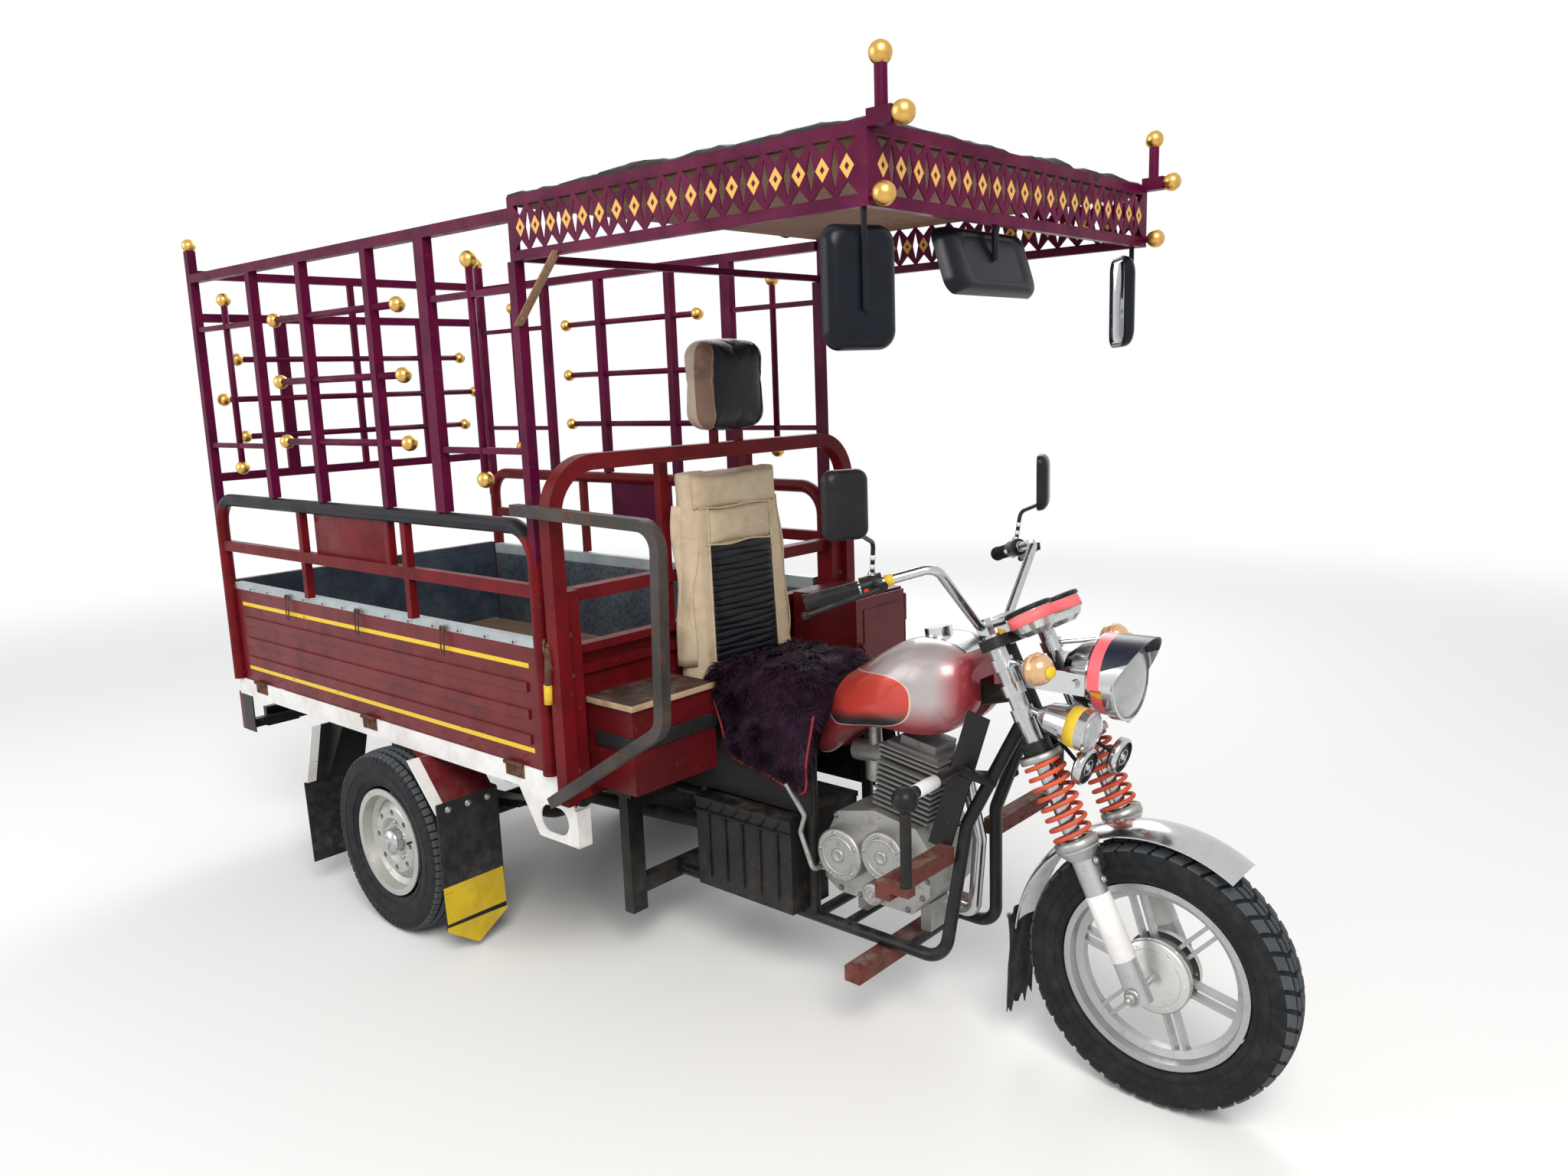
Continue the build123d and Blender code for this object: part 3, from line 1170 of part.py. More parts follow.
def handlebar():
    """Bent bar in two risers, its grips, and the levers and switch housings."""
    end = (1507, 405, 1137)
    knee = (1720, 218, 1205)
    half = [end, knee, (1735, 60, 1042), (1735, -60, 1042)]
    points = [(ahead(x), y, z) for x, y, z in half[:3]] + [(ahead(x), -y, z) for x, y, z in half[2::-1]]
    bar = bent_rod(points, 42, 22)
    risers = [fork_plane * block((-70, -40), (y - 14, y + 14), (upper_clamp + clamp_thickness + seat_gap, 864)) for y in (-42, 42)]
    save("handlebar", fused(bar, *risers))
    tip = Vector(ahead(end[0]), end[1], end[2])
    run = Vector(knee[0] - end[0], knee[1] - end[1], knee[2] - end[2]).normalized()
    across = Vector(-run.Y, run.X, 0).normalized()
    grips, controls = [], []
    mirror_heads = {-1: (1652, -450, 1362), 1: (1616, 430, 1332)}
    for side in (-1, 1):

        def place(distance, forward=0, rise=0):
            point = tip + run * distance + across * forward + Vector(0, 0, rise)
            return Vector(point.X, side * point.Y, point.Z)

        bore = rod(place(-0.5), place(200), 22 + 2 * bearing_gap)
        grips.append(fused(rod(place(-6), place(118), 33), rod(place(-6), place(2), 38)) - bore)
        housing = rod(place(122), place(172), 44)
        perch = rod(place(150, 12), place(170, 58), 20)
        lever = bent_rod((place(170, 52, -2), place(140, 58, -6), place(60, 54, -12), place(-6, 66, -16)), 30, 11)
        head_x, head_y, head_z = mirror_heads[side]
        head = Vector(ahead(head_x), head_y, head_z)
        foot = place(148, 0, 10)
        stem_points = (foot, foot + Vector(10, side * 6, 84), head + Vector(22, 0, -50), head + Vector(14, 0, 0))
        stem = bent_rod(stem_points, 22, 10)
        glass = Pos(head.X, head.Y, head.Z) * Rot(0, 0, side * 24) * mirror_shell(104, 146, 26)
        controls.append(fused(housing, perch, lever, knob(place(-6, 66, -16), 17), stem, glass) - bore)
    save("grips", *grips)
    save("controls", *controls)


front_wheel()
rear_wheel("right", -1)
rear_wheel("left", 1)
rear_axle()
leaf_springs()
cargo_frame()
floor_boards()
side_walls()
box_liner()
front_wall()
side_hoops()
skirt_rails()
tailgate()
side_cages()
rear_cage()
canopy_frame()
finial_balls()
canopy_lattice()
canopy_ceiling()
canopy_roof()
canopy_mirrors()
main_frame()
fuel_tank()
seat()
backrest()
toolbox()
cabinet()
side_guard()
engine()
exhaust()
battery_box()
foot_bars()
rear_fenders()
mudflaps()
tail_lamps()
fork()
front_fender()
headlamp()
front_lamps()
horns()
gauges()
handlebar()
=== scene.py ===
"""Looks of the cargo motor tricycle: finishes for every CAD node, soft parts, tyres with tread and small fittings.
Lengths are in metres. Places called "ahead" are millimetres forward of the rear axle, as in the part's source."""

import bisect
import math
import random

import bmesh
import bpy
from mathutils import Matrix, Vector, noise
from mathutils.bvhtree import BVHTree


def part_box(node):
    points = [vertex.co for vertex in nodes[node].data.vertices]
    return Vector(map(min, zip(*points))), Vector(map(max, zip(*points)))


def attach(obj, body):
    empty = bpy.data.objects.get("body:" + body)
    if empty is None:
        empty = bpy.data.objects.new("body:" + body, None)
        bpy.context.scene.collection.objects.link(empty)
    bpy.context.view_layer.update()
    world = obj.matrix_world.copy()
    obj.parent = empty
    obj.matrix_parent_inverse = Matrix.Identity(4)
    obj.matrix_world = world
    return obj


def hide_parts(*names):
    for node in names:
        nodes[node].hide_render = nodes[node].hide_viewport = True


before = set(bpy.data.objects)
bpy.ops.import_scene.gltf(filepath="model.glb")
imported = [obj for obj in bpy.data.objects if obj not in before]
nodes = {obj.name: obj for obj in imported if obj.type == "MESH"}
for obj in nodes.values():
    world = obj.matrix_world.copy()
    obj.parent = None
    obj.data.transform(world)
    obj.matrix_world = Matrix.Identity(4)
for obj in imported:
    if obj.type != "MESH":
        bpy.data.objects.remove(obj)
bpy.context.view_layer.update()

REAR_AXLE = -688
UP = Vector((0, 0, 1))
SIDES = ((-1, "right"), (1, "left"))


def at_x(ahead):
    """Metres along the row frame for millimetres ahead of the rear axle."""
    return (REAR_AXLE + ahead) / 1000


def place(ahead, y, z):
    """Point in metres from millimetres ahead of the rear axle, left of the middle and above the ground."""
    return Vector(((REAR_AXLE + ahead) / 1000, y / 1000, z / 1000))


def operator(operation, swapped=False):
    """Method that adds a Math node for one of Python's operators."""
    def method(self, other=0.0):
        values = (other, self) if swapped else (self, other)
        return self.finish.maths(operation, *values)

    return method


class Value:
    """A number, colour or vector in one material's nodes, for use in expressions."""

    def __init__(self, finish, socket):
        self.finish, self.socket = finish, socket

    __add__, __radd__ = operator("ADD"), operator("ADD", swapped=True)
    __sub__, __rsub__ = operator("SUBTRACT"), operator("SUBTRACT", swapped=True)
    __mul__, __rmul__ = operator("MULTIPLY"), operator("MULTIPLY", swapped=True)
    __truediv__, __gt__, __lt__ = operator("DIVIDE"), operator("GREATER_THAN"), operator("LESS_THAN")
    __abs__, wrap = operator("ABSOLUTE"), operator("FLOORED_MODULO")


class Finish:
    """One procedural material. Its position is the row frame at rest, in metres."""

    def __init__(self, name, **fixed):
        self.material = bpy.data.materials.new(name)
        self.material.use_nodes = True
        self.tree = self.material.node_tree
        self.surface = self.tree.nodes["Principled BSDF"]
        for socket, value in fixed.items():
            self.surface.inputs[socket.replace("_", " ")].default_value = value
        self.place = self.node("ShaderNodeTexCoord", out="Object")
        parts = self.node("ShaderNodeSeparateXYZ", {}, self.place, out=None)
        self.x, self.y, self.z = (Value(self, socket) for socket in parts.outputs)

    def node(self, kind, settings=(), *values, out=0, **named):
        """Adds a node: its settings first, then the numbers or links of its sockets."""
        made = self.tree.nodes.new(kind)
        for key, value in dict(settings).items():
            setattr(made, key, value)
        sockets = list(zip(made.inputs, values))
        sockets += [(made.inputs[key.replace("_", " ")], value) for key, value in named.items()]
        for socket, value in sockets:
            if isinstance(value, Value):
                self.tree.links.new(value.socket, socket)
            elif value is not None:
                socket.default_value = value
        return made if out is None else Value(self, made.outputs[out])

    def maths(self, operation, a, b=None):
        return self.node("ShaderNodeMath", {"operation": operation}, a, b)

    def noise(self, scale, detail=3.0, rough=0.55, stretch=None, distort=0.0):
        spot = self.place
        if stretch:
            spot = self.node("ShaderNodeVectorMath", {"operation": "MULTIPLY"}, spot, stretch)
        return self.node("ShaderNodeTexNoise", Vector=spot, Scale=scale, Detail=detail, Roughness=rough,
                         Distortion=distort)

    def cells(self, scale):
        return self.node("ShaderNodeTexVoronoi", Vector=self.place, Scale=scale, Randomness=1.0, out="Distance")

    def between(self, value, low, high, a=0.0, b=1.0):
        """value carried from low..high to a..b, clamped."""
        return self.node("ShaderNodeMapRange", {"interpolation_type": "SMOOTHSTEP"}, value, low, high, a, b)

    def mix(self, mask, a, b):
        """Colour a where mask is 0 and b where it is 1."""
        made = self.node("ShaderNodeMix", {"data_type": "RGBA"}, mask, out=None)
        for socket, value in ((made.inputs[6], a), (made.inputs[7], b)):
            if isinstance(value, Value):
                self.tree.links.new(value.socket, socket)
            else:
                socket.default_value = (*value, 1)
        return Value(self, made.outputs[2])

    def facing_up(self):
        """1 on faces that look up, 0 on the others."""
        normal = self.node("ShaderNodeNewGeometry", out="Normal")
        parts = self.node("ShaderNodeSeparateXYZ", {}, normal, out=None)
        return self.between(Value(self, parts.outputs[2]), 0.35, 0.95)

    def bump(self, height, strength=0.3, distance=0.002):
        made = self.node("ShaderNodeBump", {}, Strength=strength, Distance=distance, Height=height)
        self.tree.links.new(made.socket, self.surface.inputs["Normal"])

    def wear(self, **looks):
        """Links what varies over the surface: Base_Color, Roughness, Metallic, Coat_Weight, Alpha or Emission_Color."""
        for name, value in looks.items():
            socket = self.surface.inputs[name.replace("_", " ")]
            if isinstance(value, Value):
                self.tree.links.new(value.socket, socket)
            else:
                socket.default_value = (*value, 1) if isinstance(value, tuple) else value
        return self.material


DUST = (0.30, 0.26, 0.22)
RUST = (0.13, 0.045, 0.018)
ZINC = ((0.030, 0.042, 0.062), (0.070, 0.090, 0.115))


def darker(colour, share):
    return tuple(c * share for c in colour)


def painted(name, colour, dull, chips=0.64, dusty=0.5, gloss=0.35, paint=None, shine=0.25):
    """Old paint: uneven colour, scratches and chips to rust, and dust that lies on top faces and low down."""
    f = Finish(name, Specular_IOR_Level=shine)
    patches = f.between(f.noise(7, 5, 0.65), 0.36, 0.68)
    skin = f.mix(patches, colour, dull)
    if paint:
        skin = paint(f, skin)
    fine = f.noise(90, 4, 0.7)
    marks = f.between(f.noise(34, 6, 0.72), chips, chips + 0.05)
    scratch = f.between(f.noise(60, 2, 0.5, stretch=(0.15, 0.15, 1.8)), 0.70, 0.76) * 0.5
    bare = f.maths("MAXIMUM", marks, scratch)
    skin = f.mix(bare, skin, f.mix(fine, RUST, darker(RUST, 0.4)))
    low = f.between(f.z, 0.60, 0.05, 0.0, 0.35)
    cover = (f.facing_up() * 0.6 + low) * f.between(f.noise(16, 6, 0.7), 0.40, 0.80) * dusty
    skin = f.mix(cover, skin, DUST)
    f.bump(fine * 0.25 - bare * 0.5 + f.noise(12, 2) * 0.5, 0.22, 0.0015)
    return f.wear(Base_Color=skin, Roughness=gloss + patches * 0.15 + cover * 0.5 + bare * 0.3)


def bare_metal(name, colour, rough=0.25, stain=0.35, stain_colour=(0.12, 0.08, 0.05), grain=0.0, metallic=1.0,
               dusty=0.4):
    """Cast, chromed or polished metal with stains, fine scratches and dust."""
    f = Finish(name)
    blot = f.between(f.noise(26, 6, 0.7), 0.50, 0.78) * stain
    fine = f.noise(170, 3, 0.6)
    exposed = f.facing_up() * 0.5 + f.between(f.z, 0.6, 0.05, 0.0, 0.5)
    cover = exposed * f.between(f.noise(20, 5, 0.7), 0.35, 0.8) * dusty
    skin = f.mix(cover, f.mix(blot, f.mix(fine, colour, darker(colour, 0.82)), stain_colour), DUST)
    f.bump(fine * grain + f.noise(45, 4) * 0.4, 0.10 + grain * 0.3, 0.001)
    return f.wear(Base_Color=skin, Roughness=rough + blot * 0.5 + fine * 0.08 + cover * 0.4,
                  Metallic=metallic - (blot + cover) * 0.7 * metallic)


def plain_rubber(name, colour=(0.008, 0.008, 0.009), rough=0.55, dusty=0.35, grain=260):
    """Rubber or moulded plastic with grain and dust."""
    f = Finish(name, Specular_IOR_Level=0.16)
    exposed = f.facing_up() * 0.5 + f.between(f.z, 0.6, 0.0, 0.1, 0.6)
    cover = exposed * f.between(f.noise(22, 6, 0.72), 0.38, 0.80) * dusty
    pale = tuple(c * 1.9 + 0.004 for c in colour)
    skin = f.mix(cover, f.mix(f.noise(14, 4), colour, pale), DUST)
    f.bump(f.noise(grain, 2) + f.noise(18, 3), 0.18, 0.0012)
    return f.wear(Base_Color=skin, Roughness=rough + cover * 0.3)


def galvanised(name):
    """Dark zinc with spangles and dirt, brighter on the walls' caps."""
    f = Finish(name)
    spangle = f.cells(60)
    sheen = f.between(f.noise(7, 4, 0.6), 0.3, 0.75)
    cap = f.between(f.z, 0.944, 0.950)
    skin = f.mix(cap, f.mix(sheen, *ZINC), f.mix(sheen, (0.30, 0.34, 0.35), (0.42, 0.46, 0.46)))
    skin = f.mix(f.between(spangle, 0.1, 0.7) * 0.12, skin, (0.40, 0.44, 0.46))
    dirt = f.between(f.noise(13, 6, 0.75), 0.56, 0.74)
    skin = f.mix(dirt * 0.6, skin, (0.14, 0.09, 0.06))
    f.bump(f.noise(5, 3) * 2 + spangle * 0.1, 0.25, 0.004)
    return f.wear(Base_Color=skin, Roughness=0.42 + dirt * 0.3 + sheen * 0.1, Metallic=0.55 - dirt * 0.4)


def planks(name, colour, dark, along=(1.2, 14, 14)):
    """Worn wood with its grain along one axis."""
    f = Finish(name)
    grain = f.noise(9, 6, 0.65, stretch=along, distort=0.6)
    fibre = f.noise(60, 3, 0.6, stretch=(0.2, 1, 1))
    skin = f.mix(f.between(grain, 0.3, 0.7), colour, dark)
    skin = f.mix(fibre * 0.35, skin, darker(dark, 0.5))
    dirt = f.between(f.noise(6, 6, 0.7), 0.48, 0.72)
    skin = f.mix(dirt * 0.7, skin, (0.22, 0.16, 0.12))
    f.bump(grain + fibre, 0.3, 0.002)
    return f.wear(Base_Color=skin, Roughness=0.72 + dirt * 0.15)


def hide(name, colour, dark, rough=0.45):
    """Leatherette with a pebbled grain, creases and dirt."""
    f = Finish(name, Specular_IOR_Level=0.2)
    pebble = f.cells(420)
    crease = f.noise(16, 5, 0.6, distort=1.2)
    dirt = f.between(f.noise(10, 6, 0.7), 0.45, 0.75)
    skin = f.mix(f.between(crease, 0.4, 0.7) * 0.5, colour, dark)
    skin = f.mix(dirt * 0.4, skin, dark)
    f.bump(pebble * 0.5 + crease * 1.5, 0.28, 0.0016)
    return f.wear(Base_Color=skin, Roughness=rough + dirt * 0.2)

MAROON = (0.095, 0.003, 0.030)
RED = (0.135, 0.006, 0.009)
STRIPE = (0.70, 0.46, 0.02)
GOLD = (0.62, 0.36, 0.09)


def stripes(f, skin):
    """Two yellow stripes along the outside of each side wall."""
    outside = abs(f.y) > 0.5605
    span = (f.x > at_x(-960)) * (f.x < at_x(690))
    high = (f.z > 0.9075) * (f.z < 0.9205)
    low = (f.z > 0.678) * (f.z < 0.691)
    worn = f.between(f.noise(40, 5, 0.7), 0.66, 0.70, 1, 0)
    return f.mix(outside * span * (high + low) * worn, skin, STRIPE)


def zinc_inside(f, skin):
    """Dark galvanised sheet on the inner face of the walls, red outside."""
    inner = (abs(f.y) < 0.5600) * (f.x > at_x(-1053)) * (f.z < 0.962)
    return f.mix(inner, skin, f.mix(f.between(f.noise(7, 4, 0.6), 0.3, 0.75), *ZINC))


def wall_paint(f, skin):
    return stripes(f, zinc_inside(f, skin))


def rear_ends(f, skin):
    """The end plates behind the box are red."""
    return f.mix((f.x < at_x(-1046)) * (abs(f.y) > 0.48) * (f.z > 0.40), skin, (0.095, 0.006, 0.009))


def splash_edges(f, skin):
    """Splash plates are white along their outer edge and red or black inside it."""
    inner = f.mix(f.x > at_x(0), (0.010, 0.010, 0.010), (0.110, 0.008, 0.010))
    return f.mix(abs(f.y) < 0.600, skin, inner)


def wrapped_tube(f, skin):
    """The right top tube is wound in black tape."""
    wound = (f.y < -0.54) * (f.z > 1.257) * (f.x < at_x(775))
    return f.mix(wound, skin, (0.014, 0.014, 0.018))


def gate_inside(f, skin):
    """The tailgate has the liner's dark zinc on its inner face."""
    sheen = f.between(f.noise(5, 5, 0.7), 0.35, 0.7)
    return f.mix(f.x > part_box("tailgate")[1].x - 0.004, skin, f.mix(sheen, *ZINC))


def gold_diamonds(f, skin):
    """Gold plates round the diamond holes at the middle of the lattice."""
    half_high, half_wide = 0.022, 0.0165
    middle = 1.9915
    counts = {"x": (at_x(788), at_x(1812)), "y": (-0.5655, 0.5655)}
    masks = []
    for axis, (start, end) in counts.items():
        pitch = (end - start) / round((end - start) / 0.056)
        along = (getattr(f, axis) - start).wrap(pitch) - pitch / 2
        on_face = abs(f.y) > 0.5795 if axis == "x" else (abs(f.x - at_x(1300)) > 0.5265)
        away = abs(along) / half_wide + abs(f.z - middle) / half_high
        masks.append((away < 1.0) * (away > 0.34) * on_face)
    return f.mix(masks[0] + masks[1], skin, GOLD)


DULL_MAROON = (0.056, 0.002, 0.020)
DULL_RED = (0.088, 0.006, 0.008)
cage_paint = painted("cage_maroon", MAROON, DULL_MAROON, dusty=0.12, gloss=0.30, shine=0.08)
lattice_paint = painted("lattice_maroon", MAROON, DULL_MAROON, paint=gold_diamonds, dusty=0.12, chips=0.7, shine=0.08)
box_paint = painted("box_red", RED, DULL_RED, paint=wall_paint, dusty=0.3, gloss=0.30)
gate_paint = painted("gate_red", RED, DULL_RED, paint=gate_inside, dusty=0.2, gloss=0.30, shine=0.12)
rail_paint = painted("rail_red", RED, (0.085, 0.004, 0.006), chips=0.62, dusty=0.15, gloss=0.30, paint=wrapped_tube,
                     shine=0.10)
toolbox_paint = painted("toolbox_red", (0.105, 0.006, 0.009), (0.065, 0.005, 0.007), chips=0.62, dusty=0.35, gloss=0.28)
step_paint = painted("step_red", (0.13, 0.022, 0.018), (0.10, 0.035, 0.028), chips=0.54, dusty=0.9, gloss=0.6)
black_paint = painted("frame_black", (0.007, 0.007, 0.008), (0.014, 0.013, 0.012), dusty=0.4, gloss=0.36,
                      paint=rear_ends)
guard_paint = painted("guard_grey", (0.022, 0.018, 0.017), (0.055, 0.045, 0.040), chips=0.58, dusty=0.5, gloss=0.45)
white_paint = painted("skirt_white", (0.74, 0.73, 0.71), (0.60, 0.57, 0.54), chips=0.66, dusty=0.45, gloss=0.40)
splash_white = painted("splash_white", (0.72, 0.71, 0.69), (0.58, 0.55, 0.52), chips=0.66, dusty=0.4, gloss=0.40,
                       paint=splash_edges)
spring_paint = painted("spring_orange", (0.62, 0.085, 0.035), (0.42, 0.07, 0.035), chips=0.66, dusty=0.8, gloss=0.45)
zinc = galvanised("galvanised")
floor_wood = planks("floor_wood", (0.28, 0.18, 0.11), (0.14, 0.08, 0.05))
ceiling_wood = planks("plywood_brown", (0.24, 0.115, 0.055), (0.15, 0.065, 0.032), along=(1.0, 6, 6))
gold = bare_metal("gold", (0.72, 0.43, 0.12), rough=0.26, stain=0.4, stain_colour=(0.16, 0.08, 0.03), dusty=0.2)
chrome = bare_metal("chrome", (0.56, 0.57, 0.58), rough=0.12, dusty=0.3)
cast = bare_metal("cast_aluminium", (0.40, 0.40, 0.385), rough=0.40, stain=0.6, grain=0.6, metallic=0.85, dusty=0.5)
finned = bare_metal("finned_aluminium", (0.20, 0.20, 0.195), rough=0.5, stain=0.7, grain=0.6, metallic=0.7, dusty=0.45)
silver = bare_metal("wheel_silver", (0.44, 0.45, 0.455), rough=0.34, stain=0.4, grain=0.2, metallic=0.75)
steel_rim = bare_metal("wheel_steel", (0.50, 0.50, 0.47), rough=0.40, stain=0.45, grain=0.2, metallic=0.7, dusty=0.6)
polished = bare_metal("hub_polished", (0.66, 0.66, 0.64), rough=0.30, stain=0.25, grain=0.1, metallic=0.85, dusty=0.3)
gauge_shell = bare_metal("gauge_shell", (0.62, 0.64, 0.62), rough=0.16, stain_colour=(0.30, 0.27, 0.14), dusty=0.15,
                         metallic=0.8)
rubber = plain_rubber("rubber_black")


def tread_finish(name, axle, radius, half):
    """Rubber whose block tops are greyer than the grooves and the side walls."""
    f = Finish(name, Specular_IOR_Level=0.18)
    x, z = f.x - axle.x, f.z - axle.z
    away = f.maths("SQRT", x * x + z * z)
    side = abs(f.y - axle.y) / half
    crown = f.between(away + side * side * 0.013, radius - 0.0045, radius - 0.0015) * (side < 0.93)
    dust = f.between(f.noise(22, 6, 0.72), 0.40, 0.80)
    grey = f.mix(f.noise(9, 4), (0.040, 0.048, 0.056), (0.075, 0.083, 0.090))
    skin = f.mix(dust * 0.07, (0.008, 0.009, 0.011), DUST)
    skin = f.mix(crown, skin, f.mix(dust * 0.3, grey, (0.11, 0.10, 0.09)))
    ring = f.between(abs(away - radius * 0.80), 0.0016, 0.0008)
    f.bump(f.noise(180, 3) + ring * 2, 0.25, 0.0010)
    return f.wear(Base_Color=skin, Roughness=0.64 + crown * 0.12)


tyre_rubber = plain_rubber("tyre_rubber", (0.012, 0.013, 0.015), rough=0.66, dusty=0.35, grain=180)
plastic = plain_rubber("plastic_black", (0.006, 0.006, 0.007), rough=0.32, dusty=0.25, grain=500)
shell_black = plain_rubber("mirror_black", (0.002, 0.003, 0.006), rough=0.26, dusty=0.06, grain=600)
tarpaulin = plain_rubber("tarpaulin", (0.014, 0.012, 0.012), rough=0.60, dusty=0.12, grain=300)
beige_hide = hide("leatherette_beige", (0.56, 0.45, 0.31), (0.40, 0.30, 0.19))
black_hide = hide("leatherette_black", (0.005, 0.005, 0.008), (0.010, 0.009, 0.012), rough=0.36)


def headrest_finish():
    """Black front panel between piped seams, beige sides and back, with the same grain."""
    f = Finish("leatherette_headrest", Specular_IOR_Level=0.2)
    pebble = f.cells(420)
    crease = f.noise(14, 5, 0.6, distort=1.4)
    share = (f.z - 1.6135) / 0.1215
    reach = 0.092 * (1.0 - abs(share) * abs(share) * abs(share) * 0.16)
    across = abs(f.y - 0.0475)
    front = (f.x > at_x(850)) * (across < reach)
    strip = (f.x > at_x(862)) * (across > reach)
    dirt = f.between(f.noise(10, 6, 0.7), 0.45, 0.75)
    beige = f.mix(dirt * 0.6, (0.50, 0.40, 0.29), (0.26, 0.18, 0.12))
    beige = f.mix(strip, beige, f.mix(dirt, (0.24, 0.145, 0.105), (0.13, 0.075, 0.055)))
    dashes = abs(f.z * 130).wrap(1.0) < 0.6
    stitch = (abs(across - reach - 0.006) < 0.0011) * dashes * (f.x > at_x(862))
    skin = f.mix(front, beige, f.mix(crease, (0.008, 0.008, 0.012), (0.018, 0.018, 0.024)))
    skin = f.mix(stitch, skin, (0.42, 0.32, 0.20))
    groove = f.between(abs(across - reach), 0.0, 0.006)
    f.bump(pebble * 0.4 + crease * 1.5 + groove * 3.0, 0.30, 0.0016)
    return f.wear(Base_Color=skin, Roughness=0.44 - front * 0.08 + dirt * 0.15)


def tank_finish():
    """Silver pearl that fades to magenta and dark red at its lower and rear edges, with a plain orange-red side panel,
    black at its foot, and a chrome cover along the top."""
    f = Finish("tank_paint", Coat_Weight=0.35, Coat_Roughness=0.08, Specular_IOR_Level=0.35)
    start, end = at_x(1250), at_x(1715)
    run = (f.x - start) / (end - start)
    belly = 0.862 - run * 0.030
    cloud = f.noise(5, 3) * 0.02
    fade = f.between(f.z + cloud, belly - 0.045, belly + 0.045)
    ends = f.between(run, 0.30, 0.55) * f.between(run, 1.0, 0.86)
    pearl = f.mix(fade * ends, (0.30, 0.006, 0.020), (0.38, 0.335, 0.335))
    skin = f.mix(f.between(f.z + cloud, belly - 0.12, belly - 0.05), (0.20, 0.004, 0.008), pearl)
    along = f.x - at_x(1440)
    u = along / 0.158
    v = (f.z - 0.838 - along * 0.17) / 0.070
    oval = f.maths("POWER", abs(u), 2.6) + f.maths("POWER", abs(v), 2.6)
    side = abs(f.y) > 0.050
    orange = f.mix(f.between(v, -0.5, 0.9), (0.48, 0.016, 0.006), (0.58, 0.040, 0.012))
    orange = f.mix(f.between(v, -0.75, -0.25), (0.006, 0.004, 0.004), orange)
    skin = f.mix((oval < 1.0) * side, skin, orange)
    skin = f.mix((abs(oval - 1.0) < 0.045) * side, skin, (0.60, 0.44, 0.36))
    upper = (f.z > 0.930) * (f.x < at_x(1690))
    crest = f.between(abs(f.y), 0.050, 0.046) * upper
    rim = (abs(abs(f.y) - 0.050) < 0.0035) * upper
    flake = f.noise(900, 1)
    skin = f.mix(flake * 0.10, skin, (0.60, 0.52, 0.52))
    skin = f.mix(crest, skin, (0.66, 0.67, 0.68))
    skin = f.mix(rim, skin, (0.012, 0.012, 0.012))
    f.bump(f.noise(40, 2) + crest * 0.8, 0.08, 0.001)
    return f.wear(Base_Color=skin, Roughness=0.26 + flake * 0.1 - crest * 0.14, Metallic=fade * 0.3 + crest * 0.7)


def headlamp_finish():
    """Chrome bowl and ears, a dark blue-black peak and a coral band round both."""
    f = Finish("headlamp_chrome")
    ahead = f.x - at_x(1922)
    drop = f.z - 0.954 - ahead * 0.02
    away = f.maths("SQRT", f.y * f.y + drop * drop)
    peak = (away > 0.0905) * (ahead > 0.094) * (drop > 0.024 + (ahead - 0.10) * 0.35)
    band = (ahead > 0.096) * (ahead < 0.124) * (away > 0.080)
    bit = band * (f.y < -0.080) * (drop < -0.018) * (drop > -0.034)
    stain = f.between(f.noise(26, 6, 0.7), 0.55, 0.78) * 0.3
    chips = f.between(f.noise(30, 5, 0.7), 0.62, 0.66)
    skin = f.mix(stain, (0.56, 0.57, 0.58), (0.12, 0.09, 0.07))
    skin = f.mix(peak, skin, f.mix(chips, (0.012, 0.014, 0.028), (0.09, 0.08, 0.09)))
    skin = f.mix(band, skin, f.mix(chips, (0.85, 0.13, 0.15), (0.60, 0.09, 0.10)))
    skin = f.mix(bit, skin, (0.75, 0.50, 0.03))
    paint = f.maths("MAXIMUM", peak, band)
    f.bump(f.noise(45, 4) * 0.4 + band * 0.6, 0.12, 0.001)
    return f.wear(Base_Color=skin, Roughness=0.12 + stain * 0.4 + paint * 0.22, Metallic=1.0 - paint * 0.95)


coats = (
    # The black side covers of seat_frame, under the seat, are dark sheets that stand for the shade there: painted
    # shade.
    (black_paint, "main_frame cargo_frame seat_frame battery_box rear_axle leaf_springs fork_clamps"),
    (floor_wood, "floor_boards"), (ceiling_wood, "canopy_ceiling"), (zinc, "box_liner"), (box_paint, "side_walls"),
    (gate_paint, "tailgate"), (rail_paint, "front_wall side_hoops"), (white_paint, "skirt_rails"),
    (splash_white, "rear_fenders"), (guard_paint, "side_guard"), (step_paint, "foot_bars"),
    (toolbox_paint, "toolbox toolbox_lid cabinet cabinet_door"), (cage_paint, "side_cages rear_cage canopy_frame"),
    (lattice_paint, "canopy_lattice"), (gold, "finial_balls"), (tarpaulin, "canopy_roof"),
    (shell_black, "canopy_mirrors"),
    (beige_hide, "backrest"), (black_hide, "headrest"), (tank_finish(), "fuel_tank"), (headlamp_finish(), "headlamp"),
    (gauge_shell, "gauges"), (cast, "engine carburettor"), (finned, "cylinder"), (spring_paint, "fork_springs"),
    (chrome, "exhaust fork_tubes front_fender front_lamps handlebar"), (silver, "fork_legs front_rim"),
    (steel_rim, "rear_rim_right rear_rim_left"), (tyre_rubber, "front_tyre rear_tyre_right rear_tyre_left"),
    (rubber, "mudflaps grips"), (plastic, "seat_cushion tail_lamps horns controls"),
)
coat = {name: material for material, names in coats for name in names.split()}
for name, node in nodes.items():
    for material_slot in node.material_slots:
        material_slot.material = coat[name]


# Mesh helpers: every piece is built at its place in the row frame.


